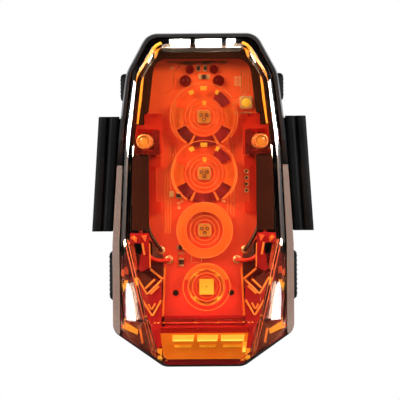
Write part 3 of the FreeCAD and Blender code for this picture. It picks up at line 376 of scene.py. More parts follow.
# Red prisms beside the board's narrow end, right side: corners (x, z), and one height or each corner's own
prism_facets = {
    "prism_floor": [([(19.2, -18.0), (9.8, -20.0), (9.8, -43.0), (11.0, -43.2), (19.0, -38.2)], 0.2)],
    # Painted shade: the notch at the board under the holder, and the region above the first chevron
    "prism_dark": [
        ([(12.2, -21.7), (9.3, -20.8), (9.3, -24.8)], 1.0),
        ([(14.4, -22.8), (12.1, -24.7), (13.3, -27.6), (15.0, -24.8)], [0.6, 0.6, 1.0, 0.8]),
    ],
    # Side wall outside the crease: its dark gap and its lower end
    "prism_shade": [
        ([(19.1, -23.4), (16.8, -23.5), (16.9, -24.7), (19.0, -24.8)], 0.9),
        ([(19.4, -36.0), (18.4, -35.9), (14.8, -37.4), (12.9, -40.6), (13.6, -41.4), (19.0, -38.2)], 1.2),
    ],
    # Step between the chevrons
    "prism_upper": [
        (
            [(15.3, -24.8), (13.2, -28.2), (9.8, -25.2), (9.8, -29.8), (12.0, -33.4), (14.5, -29.2)],
            [1.6, 1.0, 2.0, 2.2, 1.2, 1.8],
        ),
    ],
    # Two panels under the holder, then the smooth one below the chevrons
    "prism_lower": [
        (
            [(14.0, -16.3), (12.5, -16.3), (12.4, -22.0), (14.6, -23.0), (15.2, -22.2)],
            [5.2, 5.2, 4.8, 4.2, 4.2],
        ),
        ([(17.3, -13.9), (12.6, -13.9), (12.6, -16.3), (17.2, -16.3)], [4.4, 4.8, 4.8, 4.4]),
        (
            [(14.5, -29.3), (12.0, -33.5), (9.8, -29.9), (9.8, -40.2), (10.9, -40.6), (13.6, -33.4)],
            [3.0, 2.2, 3.2, 2.6, 2.6, 2.8],
        ),
    ],
    # Glints: under the holder, at the foot of the smooth panel and on the side wall
    "prism_glow": [
        ([(16.4, -14.8), (15.9, -14.8), (16.0, -15.5)], 5.3),
        ([(10.9, -40.7), (9.8, -40.7), (9.8, -42.5), (10.8, -42.5)], [2.4, 2.4, 2.0, 2.0]),
        ([(18.9, -24.9), (16.9, -24.8), (17.3, -26.6), (18.6, -26.8)], 1.0),
        ([(17.9, -34.1), (14.7, -36.0), (14.8, -37.2), (18.2, -35.7)], 1.0),
    ],
    # Painted highlights as orange bands: along the crease, under the holder and across the side wall
    "prism_band": [
        ([(17.2, -16.2), (16.2, -16.2), (15.3, -22.4), (15.9, -22.7)], [1.4, 1.0, 1.0, 1.4]),
        ([(17.0, -15.0), (16.2, -14.3), (15.4, -15.0), (15.6, -16.2)], [4.9, 5.2, 5.2, 4.8]),
        ([(14.5, -14.5), (13.1, -14.3), (13.5, -15.9)], [5.2, 5.4, 5.0]),
        ([(19.1, -21.4), (16.9, -21.8), (16.8, -23.4), (19.1, -23.2)], 1.0),
        ([(19.2, -34.4), (18.1, -35.0), (18.3, -36.8), (19.2, -36.6)], 0.8),
    ],
}
prism_glint_run = {"Width": 0.22, "Height": 0.5, "Bend": 0.2}
# Painted highlights: golden strips along the prisms' edges, as points (x, z, height)
prism_glint_routes = [
    [(15.4, -24.5, 1.9), (13.2, -28.3, 1.3), (9.8, -25.0, 2.3)],
    [(12.4, -28.2, 1.7), (10.4, -26.4, 2.1)],
    [(13.6, -26.9, 1.7), (11.4, -24.8, 2.1)],
    [(14.6, -29.1, 3.2), (12.0, -33.4, 2.5), (9.9, -29.7, 3.4)],
    [(12.9, -30.6, 2.4), (12.2, -32.0, 2.4), (11.3, -30.4, 2.4)],
    [(14.2, -35.8, 1.6), (13.6, -39.2, 1.6)],
    [(9.0, -22.0, 1.0), (9.6, -33.6, 1.0)],
    [(12.4, -22.3, 1.2), (9.8, -24.6, 1.2)],
    [(12.5, -22.4, 1.6), (9.4, -24.8, 1.6)],
    [(12.5, -16.3, 5.4), (12.4, -22.0, 5.0)],
    [(14.2, -16.2, 5.2), (13.7, -19.0, 5.0)],
]

# Behind the slanted window, as corners (x, z): step block, strips above and below it, and the last step
step_block = [(-10.1, -37.0), (10.4, -37.0), (9.8, -42.4), (9.0, -43.2), (-8.7, -43.2), (-9.5, -42.4)]
window_header = [(-10.1, -35.6), (10.4, -35.6), (10.4, -36.9), (-10.1, -36.9)]
window_sill = [(-9.8, -43.4), (10.4, -43.4), (9.4, -44.4), (-8.8, -44.4)]
side_step = [(9.2, -37.5), (10.3, -37.5), (9.7, -41.8), (9.0, -41.8)]
side_step_level = -39.0
# Painted reflections of the three top panes, as bright steps on the block: ends of each, and for both rows
# the top, the height and how much shorter it is
step_ends = [(-7.3, -2.2), (-1.5, 3.4), (4.0, 9.6)]
step_rows = [(-37.4, 1.6, 0.0), (-39.8, 0.5, 0.5)]
step_lifts = (0.1, 0.1, 0.4, 0.4)
step_slant = 0.3
ledge_x = 0.35
ledge_size = (19.4, 0.7)
ledge_edge = 0.1
# Ledges above the window, as (z, height over the board), and the line between them
window_ledges = [(-33.7, 2.2), (-35.4, 2.2)]
window_lines = [(-34.5, 2.6)]

# Strap, seen from above: the bead at its end, the arm and the round part behind the post
strap_inner = 13.6
strap_outer = 16.4
strap_foot_angle = 19.4
strap_lean = 0.0646
strap_end_half_height = 13.5
strap_back_half_height = 10.0
strap_taper_front_y = -15.0
strap_taper_back_y = -3.0
strap_arm_inner = (22.233, -19.9)
strap_arm_outer = (25.233, -20.9)
# Bead from the arm's inner side round to its outer side, as (x, y, corner radius)
strap_bead = [
    (22.233, -23.1, 0.3),
    (20.333, -24.03, 0.6),
    (20.333, -26.93, 1.0),
    (22.333, -26.93, 0.6),
    (22.783, -26.03, 0.2),
    (23.233, -26.93, 0.6),
    (25.233, -26.93, 1.2),
]
strap_arc_steps = 24
strap_arm_steps = 8
strap_levels = [-1.0, -0.6, -0.2, 0.2, 0.6, 1.0]
strap_weld = 0.002
strap_rim_level = 9.0
strap_rim_angle = 60
strap_rim_radius = 0.3

# Ridges of the buttons and grip pads: count, pitch and the size of each
button_ridges = (5, 0.9, {"Radius": 0.16, "Length": 1.5})
grip_ridges = (9, 1.1, {"Radius": 0.18, "Length": 2.6})
ridge_sink = 0.04


def node(tree, kind, inputs=None, **settings):
    """Adds a node. An input is given by name or number, and takes a value or another node's socket."""
    made = tree.nodes.new(kind)
    for name, value in settings.items():
        setattr(made, name, value)
    for name, value in (inputs or {}).items():
        if isinstance(value, bpy.types.NodeSocket):
            tree.links.new(value, made.inputs[name])
        else:
            made.inputs[name].default_value = value
    return made


def math_node(tree, operation, *values):
    return node(tree, "ShaderNodeMath", dict(enumerate(values)), operation=operation).outputs[0]


def mixed(tree, share, first, second):
    """Mixes two shaders by a share from 0 to 1."""
    return node(tree, "ShaderNodeMixShader", {0: share, 1: first.outputs[0], 2: second.outputs[0]})


def object_place(tree):
    return node(tree, "ShaderNodeTexCoord").outputs["Object"]


def object_height(tree):
    return node(tree, "ShaderNodeSeparateXYZ", {0: object_place(tree)}).outputs["Z"]


def node_group(name, kind, inputs, outputs):
    """New node group with its sockets, given as (name, type, default)."""
    tree = bpy.data.node_groups.new(name, kind)
    for direction, sockets in (("INPUT", inputs), ("OUTPUT", outputs)):
        for label, socket_type, default in sockets:
            socket = tree.interface.new_socket(name=label, in_out=direction, socket_type=socket_type)
            if default is not None:
                socket.default_value = default
    return tree, node(tree, "NodeGroupInput").outputs


def close_group(tree, outputs):
    node(tree, "NodeGroupOutput", outputs)
    return tree


def make_grain_group():
    """Fine moulded or sanded grain: a height for bump and a roughness that follows it."""
    tree, given = node_group(
        "moulded_grain",
        "ShaderNodeTree",
        [
            ("Scale", "NodeSocketFloat", 900.0),
            ("Smooth", "NodeSocketFloat", 0.3),
            ("Rough", "NodeSocketFloat", 0.5),
        ],
        [("Roughness", "NodeSocketFloat", None), ("Height", "NodeSocketFloat", None)],
    )
    place = object_place(tree)
    texture = {"Vector": place, "Scale": given["Scale"], "Detail": 3.0, "Roughness": 0.6}
    fine = node(tree, "ShaderNodeTexNoise", texture)
    broad = node(tree, "ShaderNodeTexNoise", {"Vector": place, "Scale": 120.0, "Detail": 2.0})
    both = node(tree, "ShaderNodeMix", {"Factor": 0.4, 2: fine.outputs["Fac"], 3: broad.outputs["Fac"]})
    span = {"From Min": 0.3, "From Max": 0.7, "To Min": given["Smooth"], "To Max": given["Rough"]}
    rough = node(tree, "ShaderNodeMapRange", {"Value": both.outputs[0], **span})
    return close_group(tree, {"Roughness": rough.outputs[0], "Height": fine.outputs["Fac"]})


def tone_group_of(name, extra):
    """Starts a group that mixes two tones, with more inputs of its own."""
    tones = [("Tone", "NodeSocketColor", (1, 1, 1, 1)), ("Other Tone", "NodeSocketColor", (1, 1, 1, 1))]
    return node_group(name, "ShaderNodeTree", tones + extra, [("Color", "NodeSocketColor", None)])


def close_tone_group(tree, given, share):
    """Ends a group that mixes two tones by a share."""
    tone = node(
        tree, "ShaderNodeMix", {"Factor": share, 6: given["Tone"], 7: given["Other Tone"]}, data_type="RGBA"
    )
    return close_group(tree, {"Color": tone.outputs[2]})


def make_tone_group():
    """Slow drift between two tones over the surface."""
    tree, given = tone_group_of("tone_drift", [("Scale", "NodeSocketFloat", 90.0)])
    noise = node(
        tree, "ShaderNodeTexNoise", {"Vector": object_place(tree), "Scale": given["Scale"], "Detail": 4.0}
    )
    share = node(
        tree, "ShaderNodeMapRange", {"Value": noise.outputs["Fac"], "From Min": 0.35, "From Max": 0.65}
    )
    return close_tone_group(tree, given, share.outputs[0])


def make_level_group():
    """Fade from one tone at a low level to another at a high one."""
    tree, given = tone_group_of(
        "level_tone", [("Low", "NodeSocketFloat", -34.0 * MM), ("High", "NodeSocketFloat", 24.0 * MM)]
    )
    share = node(
        tree,
        "ShaderNodeMapRange",
        {"Value": object_height(tree), "From Min": given["Low"], "From Max": given["High"]},
    )
    return close_tone_group(tree, given, share.outputs[0])


def sine_wave(tree, length, pitch):
    turns = math_node(tree, "MULTIPLY", math_node(tree, "DIVIDE", length, pitch), 2 * math.pi)
    return math_node(tree, "SINE", turns)


def make_ridge_group():
    """Fine ridges across the Z axis, as a height for bump."""
    tree, given = node_group(
        "level_ridges",
        "ShaderNodeTree",
        [("Pitch", "NodeSocketFloat", 0.6 * MM), ("Depth", "NodeSocketFloat", 1.0)],
        [("Height", "NodeSocketFloat", None)],
    )
    wave = sine_wave(tree, object_height(tree), given["Pitch"])
    return close_group(tree, {"Height": math_node(tree, "MULTIPLY", wave, given["Depth"])})


def make_ripple_group():
    """Rings round the middle of every optic, which repeat along Z, as a height for bump."""
    tree, given = node_group(
        "optic_ripples",
        "ShaderNodeTree",
        [
            ("First", "NodeSocketFloat", optic_top_z * MM),
            ("Spacing", "NodeSocketFloat", optic_pitch * MM),
            ("Pitch", "NodeSocketFloat", ripple_pitch * MM),
            ("Start", "NodeSocketFloat", 2.4 * MM),
            ("Reach", "NodeSocketFloat", 4.6 * MM),
        ],
        [("Height", "NodeSocketFloat", None)],
    )
    axes = node(tree, "ShaderNodeSeparateXYZ", {0: object_place(tree)}).outputs
    half = math_node(tree, "MULTIPLY", given["Spacing"], 0.5)
    low = math_node(tree, "MULTIPLY", half, -1.0)
    from_middle = math_node(tree, "WRAP", math_node(tree, "SUBTRACT", axes["Z"], given["First"]), half, low)
    squares = math_node(
        tree, "ADD", math_node(tree, "POWER", axes["X"], 2.0), math_node(tree, "POWER", from_middle, 2.0)
    )
    radius = math_node(tree, "SQRT", squares)
    wave = sine_wave(tree, radius, given["Pitch"])
    inside = math_node(
        tree,
        "MULTIPLY",
        math_node(tree, "LESS_THAN", radius, given["Reach"]),
        math_node(tree, "GREATER_THAN", radius, given["Start"]),
    )
    return close_group(tree, {"Height": math_node(tree, "MULTIPLY", wave, inside)})


grain_group = make_grain_group()
tone_group = make_tone_group()
level_group = make_level_group()
ridge_group = make_ridge_group()
ripple_group = make_ripple_group()


def grouped(tree, group, inputs):
    made = tree.nodes.new("ShaderNodeGroup")
    made.node_tree = group
    for name, value in inputs.items():
        made.inputs[name].default_value = value
    return made


def new_material(name):
    material = bpy.data.materials.new(name)
    material.use_nodes = True
    material.node_tree.nodes.clear()
    return material, material.node_tree


def surface_inputs(tree, tone, other, rough, grain, bump, drift, relief):
    """Colour, roughness and normal that every finish shares; relief is a group whose height is bumped too.

    The tones drift into each other, or with no drift fade from the foot of the board to its top.
    """
    tones = {"Tone": (*tone, 1), "Other Tone": (*other, 1)}
    if drift:
        colour = grouped(tree, tone_group, {**tones, "Scale": drift})
    else:
        colour = grouped(tree, level_group, tones)
    texture = grouped(tree, grain_group, {"Scale": grain, "Smooth": rough[0], "Rough": rough[1]})
    bumped = node(
        tree,
        "ShaderNodeBump",
        {"Strength": bump, "Distance": 0.02 * MM, "Height": texture.outputs["Height"]},
    )
    if relief:
        group, values, strength = relief
        form = grouped(tree, group, values)
        bumped = node(
            tree,
            "ShaderNodeBump",
            {
                "Strength": strength,
                "Distance": 0.05 * MM,
                "Height": form.outputs["Height"],
                "Normal": bumped.outputs["Normal"],
            },
        )
    return {
        "Base Color": colour.outputs["Color"],
        "Roughness": texture.outputs["Roughness"],
        "Normal": bumped.outputs["Normal"],
    }


def solid_finish(name, tone, other, rough, grain=900.0, bump=0.1, relief=None, drift=90.0, **sockets):
    """Opaque finish: two tones that drift into each other, and a grain in roughness and bump."""
    material, tree = new_material(name)
    shared = surface_inputs(tree, tone, other, rough, grain, bump, drift, relief)
    shader = node(tree, "ShaderNodeBsdfPrincipled", shared)
    for label, value in sockets.items():
        shader.inputs[label.replace("_", " ")].default_value = value
    node(tree, "ShaderNodeOutputMaterial", {"Surface": shader.outputs[0]})
    return material


def clear_finish(name, tint, other, rough, ior=1.5, grain=500.0, bump=0.02, relief=None, transmission=1.0):
    """Clear plastic or glass. Light that only passes through on its way is tinted and not bent."""
    material, tree = new_material(name)
    shared = surface_inputs(tree, tint, other, rough, grain, bump, 40.0, relief)
    shader = node(
        tree, "ShaderNodeBsdfPrincipled", {**shared, "Transmission Weight": transmission, "IOR": ior}
    )
    passing = node(tree, "ShaderNodeBsdfTransparent", {"Color": (*tint, 1)})
    path = node(tree, "ShaderNodeLightPath")
    both = mixed(tree, path.outputs["Is Shadow Ray"], shader, passing)
    node(tree, "ShaderNodeOutputMaterial", {"Surface": both.outputs[0]})
    return material


lens_plastic = clear_finish("lens_plastic", (0.99, 0.74, 0.54), (0.985, 0.71, 0.51), (0.0, 0.02), ior=1.56)
optic_acrylic = clear_finish(
    "optic_acrylic", (0.995, 0.95, 0.90), (0.99, 0.93, 0.88), (0.0, 0.02), ior=1.12,
    relief=(ripple_group, {}, 0.2),
)
prism_red = clear_finish(
    "prism_red", (0.88, 0.12, 0.06), (0.80, 0.08, 0.05), (0.04, 0.12), ior=1.55, transmission=0.35
)
clip_red = clear_finish("clip_red", (0.75, 0.07, 0.04), (0.68, 0.05, 0.03), (0.1, 0.2), transmission=0.3)
dome_resin = clear_finish("dome_resin", (0.42, 0.05, 0.10), (0.34, 0.04, 0.09), (0.01, 0.04))
diode_silicone = clear_finish("diode_silicone", (0.99, 0.97, 0.9), (0.99, 0.95, 0.86), (0.0, 0.03), ior=1.1)

black_plastic = solid_finish(
    "black_plastic", (0.009, 0.008, 0.008), (0.014, 0.012, 0.012), (0.28, 0.42), bump=0.15
)
black_rubber = solid_finish(
    "black_rubber", (0.0025, 0.0025, 0.0025), (0.005, 0.005, 0.005), (0.5, 0.65), grain=1400.0, bump=0.25,
    Specular_IOR_Level=0.12,
)
seal_silicone = solid_finish("seal_silicone", (0.2, 0.2, 0.2), (0.26, 0.26, 0.26), (0.4, 0.5))
frosted_plastic = solid_finish(
    "frosted_plastic", (0.16, 0.14, 0.125), (0.20, 0.17, 0.15), (0.3, 0.45), grain=1600.0, bump=0.2,
    relief=(ridge_group, {}, 0.35), Subsurface_Weight=0.3, Subsurface_Scale=0.002,
)
battery_foil = solid_finish(
    "battery_foil", (0.7, 0.71, 0.73), (0.78, 0.79, 0.8), (0.25, 0.4), bump=0.4, Metallic=1.0
)
foam_black = solid_finish(
    "foam_black", (0.05, 0.05, 0.05), (0.08, 0.08, 0.08), (0.8, 0.95), grain=600.0, bump=0.8
)
# Red solder mask, fading from a pinker red at the foot to a lighter orange at the top; the lighter top and
# the weak red emission are painted light
board_mask_and_glow = solid_finish(
    "board_mask_and_glow", (0.60, 0.034, 0.055), (1.0, 0.21, 0.06), (0.3, 0.42), grain=2200.0, bump=0.08, drift=0.0,
    Coat_Weight=0.3, Coat_Roughness=0.15, Emission_Color=(1.0, 0.09, 0.03, 1), Emission_Strength=0.15,
)
copper_under_mask = solid_finish(
    "copper_under_mask", (0.98, 0.34, 0.12), (0.94, 0.28, 0.10), (0.25, 0.4),
    Coat_Weight=0.4, Coat_Roughness=0.1,
)
chip_epoxy = solid_finish("chip_epoxy", (0.012, 0.006, 0.008), (0.03, 0.012, 0.016), (0.35, 0.5))
gold_land = solid_finish("gold_land", (1.0, 0.95, 0.6), (0.95, 0.85, 0.5), (0.25, 0.4), Metallic=0.35)
solder_tin = solid_finish(
    "solder_tin", (0.92, 0.86, 0.72), (0.85, 0.78, 0.62), (0.15, 0.35), bump=0.3, Metallic=0.5
)
diode_ceramic = solid_finish("diode_ceramic", (0.92, 0.86, 0.6), (0.86, 0.78, 0.5), (0.25, 0.4))
diode_gold = solid_finish("diode_gold", (1.0, 0.70, 0.24), (0.95, 0.58, 0.18), (0.25, 0.4), Metallic=0.1)
# Yellow phosphor, with emission that paints a glow on the unlit diodes
phosphor_glow_yellow = solid_finish(
    "phosphor_glow_yellow", (1.0, 0.95, 0.25), (1.0, 0.9, 0.2), (0.4, 0.5),
    Emission_Color=(1.0, 0.8, 0.03, 1.0), Emission_Strength=0.35,
)
# Black plastic, given a reddish brown that paints red light bouncing inside the lens
bezel_black = solid_finish(
    "bezel_black", (0.038, 0.016, 0.008), (0.052, 0.022, 0.011), (0.55, 0.7), bump=0.2,
    Specular_IOR_Level=0.06,
)
# Black plastic, given a reddish cast that paints red light bouncing inside the lens
panel_black = solid_finish(
    "panel_black", (0.018, 0.005, 0.004), (0.026, 0.007, 0.006), (0.5, 0.65), bump=0.2,
    Specular_IOR_Level=0.1,
)
optic_orange = solid_finish("optic_orange", (0.94, 0.30, 0.08), (0.90, 0.24, 0.07), (0.3, 0.4))
ring_light = solid_finish("ring_light", (1.0, 0.42, 0.15), (0.95, 0.34, 0.12), (0.2, 0.3), Coat_Weight=0.5)
facet_maroon = solid_finish(
    "facet_maroon", (0.22, 0.012, 0.010), (0.12, 0.008, 0.008), (0.2, 0.35), drift=160.0, Coat_Weight=0.6
)
facet_red = solid_finish(
    "facet_red", (0.38, 0.016, 0.035), (0.28, 0.012, 0.025), (0.15, 0.25), drift=120.0, Coat_Weight=0.8
)
facet_scarlet = solid_finish(
    "facet_scarlet", (0.80, 0.03, 0.035), (0.66, 0.02, 0.025), (0.15, 0.3), drift=120.0
)
# Painted shade on the prisms
facet_shade = solid_finish("facet_shade", (0.09, 0.006, 0.004), (0.05, 0.004, 0.003), (0.3, 0.45), drift=160.0)
# Painted highlight for the lit bands of the prisms
facet_lit_orange = solid_finish("facet_lit_orange", (1.0, 0.24, 0.11), (0.85, 0.17, 0.08), (0.15, 0.3), drift=160.0)
# Painted highlight for the prisms' edges
edge_glint_gold = solid_finish("edge_glint_gold", (1.0, 0.44, 0.12), (0.92, 0.30, 0.08), (0.15, 0.3), drift=200.0)
# Painted highlight along each lens crease
crease_glint_orange = solid_finish("crease_glint_orange", (0.80, 0.20, 0.09), (0.55, 0.12, 0.06), (0.2, 0.4), drift=300.0)
glow_amber = solid_finish(
    "glow_amber", (1.0, 0.62, 0.10), (1.0, 0.45, 0.06), (0.2, 0.3), drift=200.0,
    Emission_Color=(1.0, 0.55, 0.04, 1.0), Emission_Strength=0.3,
)
# Painted shade in the gaps round the optics; also the rims round the diodes' emitter dots
shade_and_rim_purple = solid_finish("shade_and_rim_purple", (0.32, 0.015, 0.05), (0.16, 0.008, 0.03), (0.4, 0.55), drift=300.0)
barrel_brass = solid_finish(
    "barrel_brass", (0.95, 0.50, 0.22), (0.88, 0.40, 0.18), (0.2, 0.35), Metallic=0.55
)
laser_window = solid_finish(
    "laser_window", (0.85, 0.52, 0.12), (0.78, 0.44, 0.09), (0.05, 0.1), Coat_Weight=1.0, Coat_Roughness=0.02
)
wire_red = solid_finish("wire_red", (0.85, 0.05, 0.03), (0.75, 0.04, 0.025), (0.25, 0.35))
wire_black = solid_finish("wire_black", (0.02, 0.008, 0.006), (0.03, 0.01, 0.008), (0.3, 0.4))
# Orange reflector, with emission that paints the glow seen in the lower window
reflector_glow_orange = solid_finish(
    "reflector_glow_orange", (0.95, 0.34, 0.07), (0.88, 0.20, 0.04), (0.15, 0.25), drift=260.0, Coat_Weight=1.0,
    Emission_Color=(1.0, 0.28, 0.01, 1.0), Emission_Strength=0.5,
)
# Painted reflections of the top panes, with emission that paints their glow
pane_glint_yellow = solid_finish(
    "pane_glint_yellow", (1.0, 0.85, 0.2), (1.0, 0.8, 0.16), (0.15, 0.25), Coat_Weight=1.0,
    Emission_Color=(1.0, 0.65, 0.02, 1.0), Emission_Strength=0.22,
)
socket_steel = solid_finish("socket_steel", (0.62, 0.62, 0.62), (0.7, 0.7, 0.7), (0.2, 0.35), Metallic=1.0)

# CAD nodes of each finish; a name without a side stands for both sides
node_finishes = [
    (lens_plastic, "lens_cover"),
    (optic_acrylic, "optic_array lower_optic"),
    (prism_red, "side_prism"),
    (clip_red, "laser_holder"),
    (dome_resin, "small_domes"),
    (black_plastic, "rear_housing battery_tray"),
    (black_rubber, "port_cover saddle_pad strap_free_half strap_fixed_half side_button grip_pad"),
    (seal_silicone, "housing_seal"),
    (frosted_plastic, "side_diffuser"),
    (battery_foil, "battery_cell"),
    (foam_black, "battery_foam"),
    (wire_red, "battery_lead_red laser_lead_red"),
    (wire_black, "battery_lead_black laser_lead_black"),
    (board_mask_and_glow, "circuit_board port_board"),
    (chip_epoxy, "front_parts back_parts controller_chip boost_inductor port_header"),
    (chip_epoxy, "switch_body switch_plunger"),
    (gold_land, "lead_pads"),
    (solder_tin, "laser_diode"),
    (diode_ceramic, "main_diodes status_diode"),
    (phosphor_glow_yellow, "lower_diode"),
    (bezel_black, "inner_bezel"),
    (panel_black, "side_panel"),
    (barrel_brass, "laser_barrel"),
    (laser_window, "laser_lens"),
    (reflector_glow_orange, "lower_reflector"),
    (socket_steel, "usb_socket"),
]


def paint_nodes():
    """Gives every CAD node its finish."""
    for finish, names in node_finishes:
        for name in names.split():
            for node_name in [name] if name in frame["nodes"] else [f"{name}_{side}" for side in SIDES]:
                mesh = frame["nodes"][node_name].data
                mesh.materials.clear()
                mesh.materials.append(finish)


def link_piece(name, mesh, finish=None, body="root", replaces=(), sharp=35.0):
    """Makes a smooth-shaded piece of a finished mesh and lets it ride a body."""
    if finish:
        mesh.materials.clear()
        mesh.materials.append(finish)
    mesh.shade_smooth()
    mesh.set_sharp_from_angle(angle=math.radians(sharp))
    piece = bpy.data.objects.new(name, mesh)
    bpy.context.scene.collection.objects.link(piece)
    if body:
        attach(piece, body)
    if replaces:
        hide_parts(*replaces)
    return piece


def even_normals(piece):
    """Lets the large faces keep their own normal, so that a flat facet mirrors as a flat one."""
    modifier = piece.modifiers.new("even_normals", "WEIGHTED_NORMAL")
    modifier.keep_sharp = True
    modifier.weight = 50


def close_mesh(name, bm, scale=MM):
    """Merges doubles, turns the faces outwards and gives the finished mesh in metres."""
    bmesh.ops.remove_doubles(bm, verts=bm.verts, dist=0.001 * MM / scale)
    bmesh.ops.recalc_face_normals(bm, faces=bm.faces)
    bmesh.ops.scale(bm, vec=(scale, scale, scale), verts=bm.verts)
    mesh = bpy.data.meshes.new(name)
    bm.to_mesh(mesh)
    bm.free()
    return mesh


def finished(name, bm, finish, **settings):
    """Closes a mesh and makes a piece of it."""
    return link_piece(name, close_mesh(name, bm), finish, **settings)


def bevel_edges(bm, edges, width, segments):
    bmesh.ops.bevel(
        bm, geom=edges, offset=width, segments=segments, profile=0.5, affect="EDGES", clamp_overlap=True
    )


def add_rings(bm, rings, close=False):
    """Joins rings of points, each the next one's neighbour; a ring of one point is a tip."""
    made = [[bm.verts.new(point) for point in ring] for ring in rings]
    pairs = list(zip(made, made[1:]))
    if close:
        pairs.append((made[-1], made[0]))
    for lower, upper in pairs:
        count = max(len(lower), len(upper))
        for i in range(count):
            j = (i + 1) % count
            corners = [lower[i % len(lower)], lower[j % len(lower)]]
            corners += [upper[j % len(upper)], upper[i % len(upper)]]
            bm.faces.new(list(dict.fromkeys(corners)))
    return made


def add_turned(bm, profile, foot, way=FORWARD, steps=64, close=False):
    """Adds a turned solid. The profile is (radius, distance from foot along the axis)."""
    across = way.orthogonal().normalized()
    other = way.cross(across)
    angles = [2 * math.pi * i / steps for i in range(steps)]
    rings = []
    for radius, along in profile:
        middle = foot + way * along
        if radius == 0:
            rings.append([middle])
        else:
            rings.append([middle + (across * math.cos(a) + other * math.sin(a)) * radius for a in angles])
    add_rings(bm, rings, close)


def rounded(corners, steps=5):
    """Closed outline whose corners (u, v, radius) are rounded by short curves."""
    points = []
    count = len(corners)
    for i, (u, v, radius) in enumerate(corners):
        here = Vector((u, v))
        before = Vector(corners[i - 1][:2]) - here
        after = Vector(corners[(i + 1) % count][:2]) - here
        reach = min(radius / math.tan(before.angle(after) / 2), 0.45 * before.length, 0.45 * after.length)
        start = here + before.normalized() * reach
        end = here + after.normalized() * reach
        for k in range(steps + 1):
            t = k / steps
            points.append(start * (1 - t) ** 2 + here * 2 * t * (1 - t) + end * t ** 2)
    return points


def rectangle(x, z, width, height, corner=0.1):
    turns = ((-0.5, -0.5), (0.5, -0.5), (0.5, 0.5), (-0.5, 0.5))
    return rounded([(x + i * width, z + j * height, corner) for i, j in turns], 2)


def add_plate(bm, outline, height, edge=0.08, foot=0.0):
    """Adds a plate on the board with a convex outline (x, z) and a chamfered front edge."""
    middle = sum(outline, Vector((0, 0))) / len(outline)
    inner = [point + (middle - point).normalized() * edge for point in outline]
    made = add_rings(
        bm,
        [
            [on_board(p.x, p.y, foot) for p in outline],
            [on_board(p.x, p.y, height - edge) for p in outline],
            [on_board(p.x, p.y, height) for p in inner],
        ],
    )
    bm.faces.new(made[0])
    bm.faces.new(made[-1])


def add_lip(bm, corners, heights):
    """Adds a block on the board whose corners (x, z) have one height or their own heights."""
    if isinstance(heights, float):
        heights = [heights] * len(corners)
    rings = [
        [on_board(x, z) for x, z in corners],
        [on_board(x, z, height) for (x, z), height in zip(corners, heights)],
    ]
    made = add_rings(bm, rings)
    bm.faces.new(made[0])
    bm.faces.new(made[-1])


def softened(name, node_name, finish, width, body="root"):
    """Copy of a CAD node, in flat faces again, with its edges rounded. It stands for the node."""
    bm = bmesh.new()
    bm.from_mesh(frame["nodes"][node_name].data)
    bmesh.ops.remove_doubles(bm, verts=bm.verts, dist=0.002 * MM)
    bmesh.ops.dissolve_limit(bm, angle_limit=math.radians(flat_angle), verts=bm.verts, edges=bm.edges)
    edges = [e for e in bm.edges if e.is_manifold and e.calc_face_angle(0.0) > math.radians(edge_angle)]
    bevel_edges(bm, edges, width * MM, 2)
    piece = link_piece(name, close_mesh(name, bm, 1.0), finish, body, (node_name,))
    even_normals(piece)
    return piece


def swept(name, points, radius, finish, body="root", replaces=()):
    """Round cord along a smooth curve that starts and ends at the first and last point."""
    curve = bpy.data.curves.new(name, "CURVE")
    curve.dimensions = "3D"
    curve.bevel_depth = radius * MM
    curve.bevel_resolution = 5
    curve.use_fill_caps = True
    spline = curve.splines.new("NURBS")
    spline.points.add(len(points) - 1)
    for target, point in zip(spline.points, points):
        target.co = (point[0] * MM, point[1] * MM, point[2] * MM, 1.0)
    spline.order_u = 4
    spline.use_endpoint_u = True
    spline.resolution_u = 8
    holder = bpy.data.objects.new(name + "_path", curve)
    bpy.context.scene.collection.objects.link(holder)
    depsgraph = bpy.context.evaluated_depsgraph_get()
    mesh = bpy.data.meshes.new_from_object(holder.evaluated_get(depsgraph))
    bpy.data.objects.remove(holder)
    return link_piece(name, mesh, finish, body, replaces)


def close_painted(tree, given, last):
    """Ends a tree of geometry with the material that it is given."""
    inputs = {"Geometry": last.outputs[0], "Material": given["Material"]}
    painted = node(tree, "GeometryNodeSetMaterial", inputs)
    return close_group(tree, {"Geometry": painted.outputs[0]})


# Node trees for what repeats. Each puts one shape on every point of a piece's mesh.
def make_repeat_tree(name, sizes, make_shape):
    inputs = [("Geometry", "NodeSocketGeometry", None)]
    inputs += [(label, "NodeSocketFloat", value) for label, value in sizes]
    inputs += [("Material", "NodeSocketMaterial", None)]
    tree, given = node_group(name, "GeometryNodeTree", inputs, [("Geometry", "NodeSocketGeometry", None)])
    shape = make_shape(tree, given)
    placed = node(
        tree,
        "GeometryNodeInstanceOnPoints",
        {"Points": given["Geometry"], "Instance": shape.outputs[0], "Rotation": (math.pi / 2, 0, 0)},
    )
    real = node(tree, "GeometryNodeRealizeInstances", {0: placed.outputs[0]})
    return close_painted(tree, given, real)


def ring_shape(tree, given):
    circle = node(tree, "GeometryNodeCurvePrimitiveCircle", {"Resolution": 28, "Radius": given["Radius"]})
    rim = node(tree, "GeometryNodeCurvePrimitiveCircle", {"Resolution": 8, "Radius": given["Rim"]})
    curves = {"Curve": circle.outputs[0], "Profile Curve": rim.outputs[0]}
    return node(tree, "GeometryNodeCurveToMesh", curves)


def disc_shape(tree, given):
    return node(
        tree, "GeometryNodeMeshCylinder", {"Vertices": 24, "Radius": given["Radius"], "Depth": given["Depth"]}
    )


